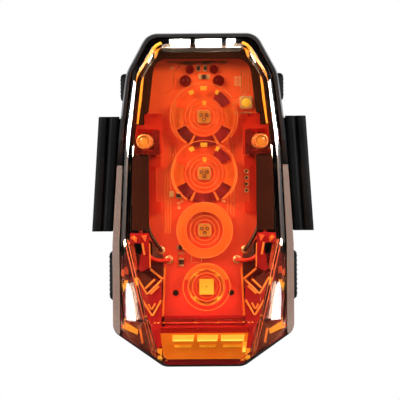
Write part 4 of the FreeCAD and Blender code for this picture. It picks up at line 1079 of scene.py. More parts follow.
def rib_shape(tree, given):
    """Upright bar with a round section and round ends."""
    bar = node(
        tree,
        "GeometryNodeMeshCylinder",
        {"Vertices": 16, "Side Segments": 8, "Radius": given["Radius"], "Depth": given["Length"]},
    )
    ends = []
    for sign in (0.5, -0.5):
        ball = node(tree, "GeometryNodeMeshUVSphere", {"Segments": 16, "Rings": 8, "Radius": given["Radius"]})
        place = node(tree, "ShaderNodeCombineXYZ", {"Z": math_node(tree, "MULTIPLY", given["Length"], sign)})
        moved = {"Geometry": ball.outputs[0], "Translation": place.outputs[0]}
        ends.append(node(tree, "GeometryNodeTransform", moved))
    joined = tree.nodes.new("GeometryNodeJoinGeometry")
    for part in [bar] + ends:
        tree.links.new(part.outputs[0], joined.inputs[0])
    return joined


def make_run_tree():
    """Copper runs: the edges of a mesh, with rounded bends, as flat bars."""
    tree, given = node_group(
        "copper_runs",
        "GeometryNodeTree",
        [
            ("Geometry", "NodeSocketGeometry", None),
            ("Width", "NodeSocketFloat", 0.25 * MM),
            ("Height", "NodeSocketFloat", 0.06 * MM),
            ("Bend", "NodeSocketFloat", 0.5 * MM),
            ("Material", "NodeSocketMaterial", None),
        ],
        [("Geometry", "NodeSocketGeometry", None)],
    )
    curve = node(tree, "GeometryNodeMeshToCurve", {"Mesh": given["Geometry"]})
    bent = node(tree, "GeometryNodeFilletCurve", {"Curve": curve.outputs[0], "Radius": given["Bend"]})
    profile = node(tree, "GeometryNodeCurvePrimitiveCircle", {"Resolution": 8, "Radius": 0.5})
    size = node(tree, "ShaderNodeCombineXYZ", {"X": given["Width"], "Y": given["Height"], "Z": 1.0})
    sized = node(tree, "GeometryNodeTransform", {"Geometry": profile.outputs[0], "Scale": size.outputs[0]})
    bars = node(
        tree,
        "GeometryNodeCurveToMesh",
        {"Curve": bent.outputs[0], "Profile Curve": sized.outputs[0], "Fill Caps": True},
    )
    return close_painted(tree, given, bars)


ring_tree = make_repeat_tree("land_rings", [("Radius", 0.4 * MM), ("Rim", 0.1 * MM)], ring_shape)
disc_tree = make_repeat_tree("round_discs", [("Radius", 0.3 * MM), ("Depth", 0.1 * MM)], disc_shape)
rib_tree = make_repeat_tree("rounded_ribs", [("Radius", 0.2 * MM), ("Length", 2.0 * MM)], rib_shape)
run_tree = make_run_tree()


def repeated(name, tree, points, finish, body="root", edges=(), **sizes):
    """Runs a node tree over points in millimetres and keeps the result as a plain mesh."""
    mesh = bpy.data.meshes.new(name + "_points")
    mesh.from_pydata([Vector(point) * MM for point in points], edges, [])
    holder = bpy.data.objects.new(name + "_points", mesh)
    bpy.context.scene.collection.objects.link(holder)
    modifier = holder.modifiers.new("repeat", "NODES")
    modifier.node_group = tree
    values = {label: value * MM for label, value in sizes.items()}
    values["Material"] = finish
    for item in tree.interface.items_tree:
        if item.in_out == "INPUT" and item.name in values:
            modifier[item.identifier] = values[item.name]
    depsgraph = bpy.context.evaluated_depsgraph_get()
    made = bpy.data.meshes.new_from_object(holder.evaluated_get(depsgraph))
    bpy.data.objects.remove(holder)
    return link_piece(name, made, body=body)


def inset_corners(corners, inset):
    """Corners of a closed outline that runs clockwise, each moved in along its two edges."""
    moved = []
    count = len(corners)
    for i, (x, z, radius) in enumerate(corners):
        here = Vector((x, z))
        before = (here - Vector(corners[i - 1][:2])).normalized()
        after = (Vector(corners[(i + 1) % count][:2]) - here).normalized()
        first, second = Vector((before.y, -before.x)), Vector((after.y, -after.x))
        point = here + (first + second) * (inset / (1 + first.dot(second)))
        moved.append((point.x, point.y, max(radius - inset, 0.3)))
    return moved


def whole_outline(half):
    """Both halves of an outline, clockwise from the top right."""
    return half + [(-x, z, radius) for x, z, radius in reversed(half)]


def window_y(z):
    share = (window_top_z - z) / (window_top_z - window_foot_z)
    return lens_front_y + (window_foot_y - lens_front_y) * share


def lens_planes():
    """The window and the two facets on each side, as a point and a normal that points out."""
    corners = ((0, window_top_z), (1, window_top_z), (0, window_foot_z))
    planes = [[Vector((x, window_y(z), z)) for x, z in corners]]
    for sign in SIDES.values():
        top = Vector((sign * crease_top[0], lens_front_y, crease_top[1]))
        knee = Vector((sign * crease_knee[0], lens_front_y, crease_knee[1]))
        low = Vector((sign * crease_low[0], window_y(crease_low[1]), crease_low[1]))
        foot = Vector((sign * facet_foot.x, facet_foot.y, facet_foot.z))
        planes += [[top, knee, foot], [knee, low, foot]]
    for a, b, c in planes:
        normal = (b - a).cross(c - a).normalized()
        yield a, normal if normal.y < 0 else -normal


def divided(ring):
    """Adds points on the straight stretches between the rounded corners of a ring."""
    fuller = []
    for i, point in enumerate(ring):
        fuller.append(point)
        if i % (lens_corner_steps + 1) == lens_corner_steps:
            after = ring[(i + 1) % len(ring)]
            fuller += [point.lerp(after, k / lens_straight_parts) for k in range(1, lens_straight_parts)]
    return fuller


def lens_form(inset):
    """Outer form of the lens, or its inner one with every face moved in, open at the seam."""
    closed, front = whole_outline(lens_outline), whole_outline(front_outline)
    levels = []
    for corners, y in (
        (inset_corners(closed, inset), seam_y),
        (inset_corners(closed, lens_shoulder_inset + inset), lens_front_y + lens_bevel_depth + inset / 2),
        (inset_corners(front, inset * inner_front_share), lens_front_y + inset),
    ):
        levels.append(divided([Vector((p.x, y, p.y)) for p in rounded(corners, lens_corner_steps)]))
    seam, shoulder, edge = levels
    between = [
        [a.lerp(b, k / lens_bevel_rows) for a, b in zip(shoulder, edge)] for k in range(1, lens_bevel_rows)
    ]
    bm = bmesh.new()
    made = add_rings(bm, [seam, shoulder] + between + [edge])
    bm.faces.new(made[-1])
    for i, (point, normal) in enumerate(lens_planes()):
        whole = bm.verts[:] + bm.edges[:] + bm.faces[:]
        # The window's inner face starts right behind the outer crease
        place = point - normal * inset if i else point - FORWARD * inset
        cut = bmesh.ops.bisect_plane(bm, geom=whole, plane_co=place, plane_no=normal, clear_outer=True)
        edges = [e for e in cut["geom_cut"] if isinstance(e, bmesh.types.BMEdge)]
        bmesh.ops.contextual_create(bm, geom=edges)
    return bm, made[0]


def make_lens():
    """The clear cover: an outer and an inner form, joined at the seam, with rounded creases."""
    shell, rings = bmesh.new(), []
    for inset in (0.0, lens_wall):
        form, ring = lens_form(inset)
        form.verts.index_update()
        rings.append([len(shell.verts) + v.index for v in ring])
        spare = bpy.data.meshes.new("lens_form")
        form.to_mesh(spare)
        form.free()
        shell.from_mesh(spare)
        bpy.data.meshes.remove(spare)
    shell.verts.ensure_lookup_table()
    outer, inner = rings
    for i in range(len(outer)):
        shell.faces.new([shell.verts[k] for k in (outer[i], outer[i - 1], inner[i - 1], inner[i])])
    bmesh.ops.remove_doubles(shell, verts=shell.verts, dist=lens_least_edge)
    bmesh.ops.dissolve_degenerate(shell, dist=lens_weld, edges=shell.edges)
    whole = [*shell.verts, *shell.edges, *shell.faces]
    bmesh.ops.symmetrize(shell, input=whole, direction="X", dist=lens_weld)
    creases = [
        edge
        for edge in shell.edges
        if edge.is_manifold
        and edge.calc_face_angle(0.0) > math.radians(lens_crease_angle)
        and max(vert.co.z for vert in edge.verts) - window_top_z > lens_crease_gap
    ]
    bevel_edges(shell, creases, lens_crease_width, 2)
    lens = finished(
        "lens_shell", shell, lens_plastic, replaces=("lens_cover",), sharp=lens_crease_angle
    )
    even_normals(lens)


def make_diffusers():
    """Frosted strips between the lens's side and the housing's edge."""
    for side, sign in SIDES.items():
        low, high = node_box(f"side_diffuser_{side}")
        strip = bmesh.new()
        outline = [Vector((sign * p.x, p.y)) for p in rounded(diffuser_outline)]
        front, back = board_front_y - low.y, board_front_y - high.y
        add_plate(strip, outline, front, diffuser_edge, foot=back)
        swaps = (f"side_diffuser_{side}",)
        finished(f"diffuser_strip_{side}", strip, frosted_plastic, replaces=swaps)


def make_shells():
    """Shells, rubber parts and clips, whose CAD nodes only need rounded edges."""
    softened("housing_shell", "rear_housing", black_plastic, housing_edge)
    softened("bezel_arch", "inner_bezel", bezel_black, shell_edge)
    softened("port_flap_cover", "port_cover", black_rubber, shell_edge, body="port_flap")
    softened("saddle_cushion", "saddle_pad", black_rubber, cushion_edge)
    for side in SIDES:
        softened(f"side_cheek_{side}", f"side_panel_{side}", panel_black, shell_edge)
        softened(f"laser_clip_{side}", f"laser_holder_{side}", clip_red, shell_edge)


def strap_half_outline():
    """Right half of the strap seen from above: inner and outer edge of the arm, and the bead between them."""
    start = math.radians(strap_foot_angle)
    sides = []
    for corner, radius in ((strap_arm_inner, strap_inner), (strap_arm_outer, strap_outer)):
        first = Vector(corner)
        foot = Vector((math.cos(start), math.sin(start))) * radius
        edge = [first.lerp(foot, i / strap_arm_steps) for i in range(strap_arm_steps)]
        for i in range(strap_arc_steps + 1):
            angle = start + (math.pi / 2 - start) * i / strap_arc_steps
            edge.append(Vector((math.cos(angle), math.sin(angle))) * radius)
        sides.append(edge)
    corners = [(*strap_arm_inner, 0.0001)] + strap_bead + [(*strap_arm_outer, 0.0001)]
    return *sides, rounded(corners, 4)


def strap_point(point, level):
    """Point of the strap at a share of its height, which leans and tapers with the distance from the body."""
    taper = (point.y - strap_taper_front_y) / (strap_taper_back_y - strap_taper_front_y)
    taper = min(max(taper, 0.0), 1.0)
    half = strap_end_half_height + (strap_back_half_height - strap_end_half_height) * taper
    z = half * level
    foot_y = strap_outer * math.sin(math.radians(strap_foot_angle))
    share = (foot_y - point.y) / (foot_y - strap_arm_outer[1])
    share = min(max(share, 0.0), 1.0)
    return Vector((point.x - strap_lean * z * share, point.y, z))


def make_strap():
    """The whole strap as one rubber band, which stands for both strap halves."""
    inner, outer, bead = strap_half_outline()
    bm = bmesh.new()

    def wall(path):
        rows = [[bm.verts.new(strap_point(point, level)) for point in path] for level in strap_levels]
        for lower, upper in zip(rows, rows[1:]):
            for i in range(len(path) - 1):
                bm.faces.new((lower[i], lower[i + 1], upper[i + 1], upper[i]))
        return rows[0], rows[-1]

    for a, b, end in zip(wall(inner), wall(outer), wall(bead)):
        for i in range(len(inner) - 1):
            bm.faces.new((a[i], a[i + 1], b[i + 1], b[i]))
        bm.faces.new(end)
    bmesh.ops.remove_doubles(bm, verts=bm.verts, dist=strap_weld)
    twin = bmesh.ops.duplicate(bm, geom=[*bm.verts, *bm.edges, *bm.faces])
    points = [v for v in twin["geom"] if isinstance(v, bmesh.types.BMVert)]
    bmesh.ops.scale(bm, vec=(-1, 1, 1), verts=points)
    bmesh.ops.remove_doubles(bm, verts=bm.verts, dist=strap_weld)
    bmesh.ops.recalc_face_normals(bm, faces=bm.faces)
    rims = [
        edge
        for edge in bm.edges
        if edge.is_manifold
        and edge.calc_face_angle(0.0) > math.radians(strap_rim_angle)
        and min(abs(vert.co.z) for vert in edge.verts) > strap_rim_level
    ]
    bevel_edges(bm, rims, strap_rim_radius, 3)
    strap = finished("strap_band", bm, black_rubber, body=None)
    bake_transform(strap)
    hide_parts("strap_fixed_half", "strap_free_half")


def board_runs():
    """Routes of the copper runs: those in bundles and those by themselves."""
    runs = []
    for count, route, steps in run_bundles:
        for i in range(count):
            runs.append([(x + u * i, z + v * i) for (x, z), (u, v) in zip(route, steps)])
    return runs + lone_runs


def make_board_details():
    """Copper runs, lands and holes on the board's front."""
    points, edges = [], []
    for run in board_runs():
        add_line(points, edges, [(x, z, copper_lift) for x, z in run])
    repeated("copper_runs", run_tree, points, copper_under_mask, edges=edges, **copper_run)
    for name, tree, places, lift, finish, sizes in (
        ("via_rings", ring_tree, lone_vias + via_block, mask_lift, gold_land, via_ring),
        ("test_lands", ring_tree, test_column, mask_lift, gold_land, test_land),
        ("test_holes", disc_tree, test_column, mask_lift, chip_epoxy, test_hole),
        ("solder_dots", disc_tree, dot_row, dot_lift, solder_tin, solder_dot),
    ):
        repeated(name, tree, [on_board(x, z, lift) for x, z in places], finish, **sizes)

    lands, patches = bmesh.new(), bmesh.new()
    for land in bare_lands:
        add_plate(lands, rectangle(*land), land_height, land_edge)
    finished("bare_lands", lands, gold_land)
    x, z = top_patch_start
    for i, (width, height) in enumerate(top_patches):
        patch = rectangle(x + top_patch_pitch * i, z - height / 2, width, height)
        add_plate(patches, patch, top_patch_height, land_edge)
    finished("top_strip", patches, ring_light)

    outline = rectangle(*outlined_part)
    points = [on_board(p.x, p.y, mask_lift) for p in outline]
    edges = [(i, (i + 1) % len(outline)) for i in range(len(outline))]
    repeated("part_outline", run_tree, points, gold_land, edges=edges, **outline_run)


def make_small_parts():
    """Chips with tinned ends."""
    bodies, ends = bmesh.new(), bmesh.new()
    for x, z, width, height, thickness in chips:
        upright = height > width
        long_side = max(width, height)
        cap = chip_end_share * long_side
        body = (width, height - 2 * cap) if upright else (width - 2 * cap, height)
        add_plate(bodies, rectangle(x, z, *body, chip_corner), thickness, chip_edge)
        for sign in SIDES.values():
            shift = sign * (long_side - cap) / 2
            size = (width, cap) if upright else (cap, height)
            place = (x, z + shift) if upright else (x + shift, z)
            add_plate(ends, rectangle(*place, *size, chip_corner), thickness + chip_end_lift)
    finished("chip_bodies", bodies, chip_epoxy, replaces=("front_parts",))
    finished("chip_ends", ends, solder_tin)


def make_diodes():
    """Three ceramic packages with a gold square, three emitter dots and a clear dome, and the yellow one."""
    bases, squares, domes, yellow = [bmesh.new() for _ in range(4)]
    dots = []
    for i in range(3):
        x, z = optic_x, optic_top_z - optic_pitch * i
        add_plate(bases, rectangle(x, z, diode_side, diode_side, diode_corner), diode_height)
        square = rectangle(x, z, diode_square_side, diode_square_side, diode_square_corner)
        add_plate(squares, square, diode_height + diode_square_lift, land_edge, foot=diode_height)
        dots += [on_board(x + u, z + v, diode_height + emitter_lift) for u, v in emitter_places]
        add_turned(domes, diode_dome, on_board(x, z, diode_height + diode_dome_lift), steps=40)
    finished("diode_bases", bases, diode_ceramic, replaces=("main_diodes",))
    finished("diode_squares", squares, diode_gold)
    finished("diode_domes", domes, diode_silicone)
    repeated("emitter_rims", disc_tree, dots, shade_and_rim_purple, **emitter_rim)
    repeated("emitter_dots", disc_tree, dots, solder_tin, **emitter_dot)

    x, z = lower_diode_x, lower_diode_z
    add_plate(yellow, rectangle(x, z, *lower_diode_size), lower_diode_height, chip_edge)
    finished("yellow_diode", yellow, phosphor_glow_yellow, replaces=("lower_diode",))
    dot = on_board(x, z, lower_diode_height + yellow_dot_lift)
    repeated("yellow_diode_dot", disc_tree, [dot], chip_epoxy, **yellow_dot)


def make_status_diode():
    """Square case with a round well, the yellow lamp in it and the gold land below."""
    x, z = status_place
    case, lamp, land = bmesh.new(), bmesh.new(), bmesh.new()
    rings = []
    for radius, height in status_case:
        ring = []
        for i in range(status_steps):
            angle = 2 * math.pi * (i + 0.5) / status_steps
            u, v = math.cos(angle), math.sin(angle)
            reach = radius / max(abs(u), abs(v)) if radius > status_well_radius else radius
            ring.append(on_board(x + u * reach, z + v * reach, height))
        rings.append(ring if radius else [on_board(x, z, height)])
    made = add_rings(case, rings)
    case.faces.new(made[0])
    finished("status_case", case, diode_ceramic, replaces=("status_diode",))
    add_turned(lamp, status_lamp, on_board(x, z, status_well_floor), steps=40)
    finished("status_lamp", lamp, phosphor_glow_yellow)
    corners = [(x + u, z + v, radius) for u, v, radius in status_land]
    add_plate(land, rounded(corners, 3), status_land_height, status_land_edge)
    finished("status_land", land, gold_land)


def add_sector(bm, place, radii, angles, heights, steps=24):
    """Adds a part of a ring round a place on the board, between two radii, angles and heights."""
    whole = angles[1] - angles[0] >= 360
    rings = []
    for k in range(steps if whole else steps + 1):
        angle = math.radians(angles[0] + (angles[1] - angles[0]) * k / steps)
        u, v = math.cos(angle), math.sin(angle)
        ring = []
        for i, j in ((0, 0), (0, 1), (1, 1), (1, 0)):
            ring.append(on_board(place[0] + u * radii[i], place[1] + v * radii[i], heights[j]))
        rings.append(ring)
    made = add_rings(bm, rings, close=whole)
    if not whole:
        bm.faces.new(made[0])
        bm.faces.new(made[-1])


def band(radius, width):
    """Inner and outer radius of a ring of a width."""
    return radius - width / 2, radius + width / 2


def add_fine_rings(bm, place, radii, width):
    """Adds thin raised rings at the top of an optic."""
    for radius in radii:
        add_sector(bm, place, band(radius, width), whole_turn, fine_ring_heights, ring_steps)


def optic_profile(radius, hole):
    """Collimator as (radius, height): a bowl with a hole for the diode, a flange and a raised ring."""
    top = optic_height
    return [
        (0.0, 1.9), (hole - 0.2, 1.9), (hole, 1.0), (hole + 0.3, 1.0), (4.2, 3.5), (radius - 0.1, 3.5),
        (radius, 3.6), (radius, top - 0.1), (radius - 0.1, top), (4.45, top), (4.35, top + 0.12),
        (4.05, top + 0.12), (3.95, top), (2.5, top - 0.2), (2.4, 3.4), (0.0, 3.2),
    ]


def make_optics():
    """Four clear collimators with their fine rings, the seats round them, and painted shade in the gaps
    between.
    """
    finishes = {
        "optic_bowls": optic_acrylic,
        "lower_bowl": optic_acrylic,
        "optic_rings": ring_light,
        "optic_shelves": optic_orange,
        "optic_gaps": shade_and_rim_purple,
        "optic_seats": ring_light,
        "optic_glints": pane_glint_yellow,
    }
    swaps = {"optic_bowls": ("optic_array",), "lower_bowl": ("lower_optic",)}
    parts = {name: bmesh.new() for name in finishes}
    rings, shelves = parts["optic_rings"], parts["optic_shelves"]
    for i, radius in enumerate(optic_radii):
        place = (optic_x, optic_top_z - optic_pitch * i)
        bowl = optic_profile(min(radius, optic_bowl_limit), optic_hole)
        add_turned(parts["optic_bowls"], bowl, on_board(*place), steps=optic_steps)
        upper = i < 2
        turn = upper_rim_turn if upper else whole_turn
        add_sector(rings, place, band(radius, rim_width), turn, rim_heights, ring_steps)
        add_fine_rings(rings, place, optic_fine_rings, fine_ring_width)
        for name, radii, heights, steps, turns in upper_optic_parts if upper else ():
            for turn in turns:
                add_sector(parts[name], place, radii, turn, heights, steps)
        if not upper:
            shelf = (shelf_inner, radius - third_shelf_gap)
            add_sector(shelves, place, shelf, whole_turn, third_shelf_heights, ring_steps)
    place = (lower_diode_x, lower_diode_z)
    bowl = optic_profile(lower_optic_radius, lower_optic_hole)
    add_turned(parts["lower_bowl"], bowl, on_board(*place), steps=optic_steps)
    add_fine_rings(rings, place, lower_fine_rings, lower_ring_width)
    shelf = (shelf_inner, lower_optic_radius - lower_shelf_gap)
    add_sector(shelves, place, shelf, lower_shelf_turn, lower_shelf_heights, 40)
    for name, bm in parts.items():
        finished(name, bm, finishes[name], replaces=swaps.get(name, ()))


def make_lasers():
    """Turned barrels with a knurled neck, and the window in each."""
    angle = math.radians(laser_tilt)
    for side, sign in SIDES.items():
        foot = Vector((sign * laser_foot.x, laser_foot.y, laser_foot.z))
        way = Vector((sign * math.sin(angle), -math.cos(angle), 0))
        barrel, window = bmesh.new(), bmesh.new()
        add_turned(barrel, laser_profile, foot, way, 56, close=True)
        finished(f"laser_tube_{side}", barrel, barrel_brass, replaces=(f"laser_barrel_{side}",))
        add_turned(window, laser_window_profile, foot, way, 48)
        finished(f"laser_glass_{side}", window, laser_window, replaces=(f"laser_lens_{side}",))
        across = way.orthogonal().normalized()
        other = way.cross(across)
        ribs = []
        for i in range(knurl_count):
            turn = 2 * math.pi * i / knurl_count
            out = across * math.cos(turn) + other * math.sin(turn)
            ribs += [foot + way * along + out * laser_radius for along in knurl_rows]
        repeated(f"laser_knurl_{side}", rib_tree, ribs, barrel_brass, **knurl_rib)


def make_carrier_plates():
    """Dark plates of each laser's carrier, on both sides of the barrel."""
    for side, sign in SIDES.items():
        front = board_front_y - node_box(f"laser_holder_{side}")[0].y
        plates = bmesh.new()
        for corners in carrier_plates:
            add_lip(plates, [(sign * x, z) for x, z in corners], front + carrier_plate_lift)
        finished(f"carrier_plate_{side}", plates, facet_maroon)


def add_line(points, edges, route, sign=1):
    """Adds a route (x, z, height) over the board to a mesh of points and edges."""
    start = len(points)
    points += [on_board(sign * x, z, height) for x, z, height in route]
    edges += [(start + i, start + i + 1) for i in range(len(route) - 1)]


def make_rim_glow():
    """Painted highlights: a golden strip along the lens's inner edge at the upper corners, and an orange line
    along each crease.
    """
    rim = [(x, z, rim_glow_height) for x, z in rim_glow_route]
    crease = [(x, z, crease_glow_height) for x, z in crease_glow_route]
    crease.append((*crease_glow_end, window_height(crease_glow_end[1]) + crease_glow_lift))
    for name, route, finish, sizes in (
        ("rim_glow", rim, glow_amber, rim_glow_run),
        ("crease_glow", crease, crease_glint_orange, crease_glow_run),
    ):
        points, edges = [], []
        for sign in SIDES.values():
            add_line(points, edges, route, sign)
        repeated(name, run_tree, points, finish, edges=edges, **sizes)


def make_leads():
    """Wires from the lasers to their ring lands, with a bared end and a cone of solder."""
    routes = (("black", lead_black_points, wire_black), ("red", lead_red_points, wire_red))
    for side, sign in SIDES.items():
        for tone, route, finish in routes:
            points = [(sign * x, board_front_y - height, z) for x, z, height in route]
            x, y, z = points.pop()
            points.append((x, y - lead_bare_end, z))
            swaps = (f"laser_lead_{tone}_{side}",)
            swept(f"{tone}_lead_{side}", points, lead_radius, finish, replaces=swaps)
    ends = [route[-1] for _, route, _ in routes]
    places = [on_board(sign * x, z, height) for x, z, height in ends for sign in SIDES.values()]
    rings = [place + FORWARD * lead_ring_lift for place in places]
    repeated("lead_rings", ring_tree, rings, gold_land, **lead_ring)
    cones = bmesh.new()
    for place in places:
        add_turned(cones, solder_cone, place, steps=32)
    finished("lead_solder", cones, solder_tin, replaces=("lead_pads",))


def window_height(z):
    """Height over the board of the block behind the window, which keeps clear of the cover."""
    return board_front_y - window_y(z) - window_block_gap


def make_window_parts():
    """What shows behind the lower window: ledges, the orange step block with a painted glow, and three bright
    steps that are painted reflections of the top panes.
    """
    for name, levels, finish in (
        ("window_ledges", window_ledges, facet_red),
        ("window_lines", window_lines, facet_maroon),
    ):
        ledges = bmesh.new()
        for z, height in levels:
            add_plate(ledges, rectangle(ledge_x, z, *ledge_size), height, ledge_edge)
        finished(name, ledges, finish)
    for name, corners, finish, swaps in (
        ("step_block", step_block, reflector_glow_orange, ("lower_reflector",)),
        ("window_header", window_header, facet_scarlet, ()),
        ("window_sill", window_sill, facet_red, ()),
    ):
        block = bmesh.new()
        add_lip(block, corners, [window_height(z) for _, z in corners])
        finished(name, block, finish, replaces=swaps)
    steps = bmesh.new()
    for start, end in step_ends:
        for z, tall, reach in step_rows:
            left, right, low = start + reach, end - reach, z - tall
            corners = [(left, z), (right, z), (right - step_slant, low), (left, low)]
            add_lip(steps, corners, [window_height(z) + lift for lift in step_lifts])
    add_lip(steps, side_step, window_height(side_step_level))
    finished("reflector_steps", steps, pane_glint_yellow)


def make_prisms():
    """Stepped red prisms beside the board's narrow end, with the side walls outside the creases."""
    finishes = {
        "prism_floor": facet_maroon,
        "prism_dark": facet_shade,
        "prism_shade": facet_shade,
        "prism_upper": facet_red,
        "prism_lower": facet_red,
        "prism_glow": glow_amber,
        "prism_band": facet_lit_orange,
    }
    for side, sign in SIDES.items():
        points, edges = [], []
        for route in prism_glint_routes:
            add_line(points, edges, route, sign)
        repeated(f"prism_edges_{side}", run_tree, points, edge_glint_gold, edges=edges, **prism_glint_run)
        for name, finish in finishes.items():
            prism = bmesh.new()
            for corners, heights in prism_facets[name]:
                add_lip(prism, [(sign * x, z) for x, z in corners], heights)
            swaps = (f"side_prism_{side}",) if name == "prism_upper" else ()
            finished(f"{name}_{side}", prism, finish, replaces=swaps)


def make_button_caps():
    """Rubber caps of the side buttons and the grip pads, each with a row of ridges."""
    for side, sign in SIDES.items():
        body = f"button_{side}"
        softened(f"button_cap_{side}", f"side_button_{side}", black_rubber, shell_edge, body=body)
        softened(f"grip_cushion_{side}", f"grip_pad_{side}", black_rubber, shell_edge)
        for name, node_name, rides, (count, pitch, sizes) in (
            (f"button_ridges_{side}", f"side_button_{side}", body, button_ridges),
            (f"grip_ridges_{side}", f"grip_pad_{side}", "root", grip_ridges),
        ):
            low, high = node_box(node_name)
            x = (high.x if sign > 0 else low.x) - ridge_sink * sign
            middle = (low + high) / 2
            points = [(x, middle.y, middle.z + pitch * (i - count // 2)) for i in range(count)]
            repeated(name, rib_tree, points, black_rubber, rides, **sizes)


paint_nodes()
make_lens()
make_diffusers()
make_shells()
make_strap()
make_board_details()
make_small_parts()
make_diodes()
make_status_diode()
make_optics()
make_lasers()
make_carrier_plates()
make_rim_glow()
make_leads()
make_prisms()
make_window_parts()
make_button_caps()


def make_camera():
    data = bpy.data.cameras.new("camera")
    camera = bpy.data.objects.new("camera", data)
    bpy.context.scene.collection.objects.link(camera)
    data.sensor_width = camera_sensor
    data.lens = data.sensor_width * camera_distance / frame_width
    data.clip_start = 0.01
    data.clip_end = 20.0
    camera.location = (frame_centre_x * MM, (board_front_y - camera_distance) * MM, frame_centre_z * MM)
    camera.rotation_euler = (math.pi / 2, math.radians(camera_roll), 0)
    bpy.context.scene.camera = camera


def area_lamp(name, place, size, power, way=None):
    """Soft lamp at a place in millimetres that points at the light's middle or along its own way."""
    data = bpy.data.lights.new(name, "AREA")
    data.shape = "RECTANGLE"
    data.size, data.size_y = size[0] * MM, size[1] * MM
    data.energy = power
    lamp = bpy.data.objects.new(name, data)
    bpy.context.scene.collection.objects.link(lamp)
    lamp.location = Vector(place) * MM
    way = way or on_board(0, frame_centre_z) - Vector(place)
    lamp.rotation_euler = way.to_track_quat("-Z", "Y").to_euler()
    return lamp


def facet_lamp(name, place, normal, turn):
    """Small oval lamp that the camera sees mirrored in a facet, at a place on it in millimetres."""
    eye = on_board(frame_centre_x, frame_centre_z, camera_distance)
    sight = (place - eye).normalized()
    across = Vector((math.cos(turn), 0, math.sin(turn)))
    across = (across - across.dot(sight) * sight).normalized()
    axes = [way - 2 * way.dot(normal) * normal for way in (across, across.cross(sight), sight)]
    spread = 1 + facet_lamp_distance / camera_distance
    size = [spread * length for length in wedge_size]
    lamp = area_lamp(name, place + axes[2] * facet_lamp_distance, size, facet_lamp_power)
    lamp.data.shape = "ELLIPSE"
    lamp.rotation_euler = Matrix(axes).transposed().to_euler()
    return lamp


def keep_off_shell(lamps):
    """Lets the bright panes light the lens and what it covers, and not the black shell and strap."""
    outside = {black_plastic.name, black_rubber.name, frosted_plastic.name}
    lit = bpy.data.collections.new("lit_by_panes")
    for piece in bpy.data.objects:
        if piece.type == "MESH" and not outside.intersection(m.name for m in piece.data.materials if m):
            lit.objects.link(piece)
    for lamp in lamps:
        lamp.light_linking.receiver_collection = lit


def pane_lamp(name, axis, sign, spans, power):
    """Bright pane far out along an axis, which faces back along it. Its spans are along the other two."""
    middle, size = [], []
    for start, end in spans:
        middle.append((start + end) / 2)
        size.append(end - start)
    middle.insert(axis, sign * pane_distance)
    way = Vector((0, 0, 0))
    way[axis] = -sign
    return area_lamp(name, middle, size, power, way)


def make_lamps():
    """Panes and oval lamps that the lens mirrors, and soft lamps for the whole object."""
    planes, panes = list(lens_planes()), []
    for i, (side, sign) in enumerate(SIDES.items()):
        point, normal = planes[1 + 2 * i]
        x, z = sign * wedge_foot[0], wedge_foot[1]
        y = point.y - ((x - point.x) * normal.x + (z - point.z) * normal.z) / normal.y
        panes.append(facet_lamp(f"facet_lamp_{side}", Vector((x, y, z)), normal, sign * wedge_turn))
    for i, ends in enumerate(top_panes_x):
        panes.append(pane_lamp(f"top_pane_{i}", 2, 1, (ends, top_pane_y), top_pane_power))
    for side, sign in SIDES.items():
        for name, spans, power in (
            ("side_pane", (side_pane_y, side_pane_z), side_pane_power),
            ("corner_pane", (corner_pane_y, corner_pane_z), corner_pane_power),
        ):
            panes.append(pane_lamp(f"{name}_{side}", 0, sign, spans, power))
        for name, ((x, y, z), size, power) in (("side_strip", side_strip), ("front_fill", front_fill)):
            area_lamp(f"{name}_{side}", (sign * x, y, z), size, power)
    keep_off_shell(panes)


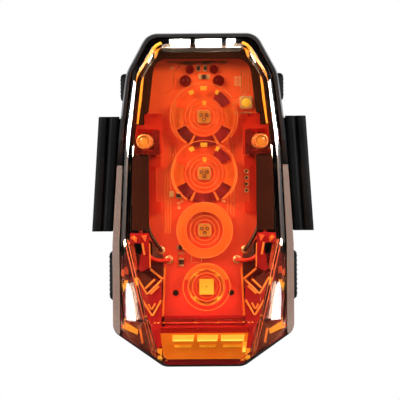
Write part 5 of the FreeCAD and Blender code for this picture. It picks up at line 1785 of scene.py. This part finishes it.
def make_world():
    """Plain dim light all round, a graded room for gloss and glass, and white for the camera."""
    world = bpy.data.worlds.new("studio")
    bpy.context.scene.world = world
    world.use_nodes = True
    tree = world.node_tree
    tree.nodes.clear()
    place = node(tree, "ShaderNodeTexCoord").outputs["Generated"]
    depth = node(tree, "ShaderNodeSeparateXYZ", {0: place}).outputs["Y"]
    share = node(tree, "ShaderNodeMapRange", {"Value": depth, "From Min": -1.0, "From Max": 1.0})
    sweep = node(tree, "ShaderNodeValToRGB", {0: share.outputs[0]})
    elements = sweep.color_ramp.elements
    while len(elements) < len(room_levels):
        elements.new(1.0)
    for element, (position, level) in zip(elements, room_levels):
        element.position = position
        element.color = (level, level, level, 1)
    ambient = node(tree, "ShaderNodeBackground", {"Color": (1, 1, 1, 1), "Strength": room_light})
    mirrored = node(tree, "ShaderNodeBackground", {"Color": sweep.outputs[0], "Strength": 1.0})
    seen = node(tree, "ShaderNodeBackground", {"Color": (1, 1, 1, 1), "Strength": 1.0})
    path = node(tree, "ShaderNodeLightPath").outputs
    bent = math_node(tree, "MAXIMUM", path["Is Glossy Ray"], path["Is Transmission Ray"])
    inner = mixed(tree, bent, ambient, mirrored)
    outer = mixed(tree, path["Is Camera Ray"], inner, seen)
    node(tree, "ShaderNodeOutputWorld", {0: outer.outputs[0]})


def make_floor():
    """Pale paper under the light, which is white to the camera and dark to gloss."""
    mesh = bpy.data.meshes.new("floor")
    bm = bmesh.new()
    bmesh.ops.create_grid(bm, x_segments=1, y_segments=1, size=floor_reach * MM)
    bmesh.ops.translate(bm, verts=bm.verts, vec=(0, 0, cad_box[0].z - floor_drop * MM))
    bm.to_mesh(mesh)
    bm.free()
    floor = bpy.data.objects.new("floor", mesh)
    bpy.context.scene.collection.objects.link(floor)
    material, tree = new_material("floor_paper")
    paper = node(tree, "ShaderNodeBsdfDiffuse", {"Color": (floor_tone, floor_tone, floor_tone, 1)})
    bright = node(tree, "ShaderNodeEmission", {"Color": (1, 1, 1, 1), "Strength": 1.0})
    dark = (floor_gloss_tone, floor_gloss_tone, floor_gloss_tone, 1)
    dim = node(tree, "ShaderNodeBsdfDiffuse", {"Color": dark})
    path = node(tree, "ShaderNodeLightPath").outputs
    seen = math_node(tree, "MAXIMUM", path["Is Camera Ray"], path["Is Transmission Ray"])
    share = math_node(tree, "MULTIPLY", seen, floor_bright_share)
    last = mixed(tree, path["Is Glossy Ray"], mixed(tree, share, paper, bright), dim)
    node(tree, "ShaderNodeOutputMaterial", {"Surface": last.outputs[0]})
    mesh.materials.append(material)


def set_render():
    scene = bpy.context.scene
    scene.view_settings.view_transform = "Standard"
    scene.cycles.transparent_max_bounces = 32
    scene.cycles.transmission_bounces = 16
    scene.cycles.max_bounces = 20
    scene.cycles.glossy_bounces = 8
    scene.cycles.caustics_refractive = False
    scene.cycles.caustics_reflective = False
    scene.cycles.sample_clamp_indirect = 8.0


make_camera()
make_lamps()
make_world()
make_floor()
set_render()
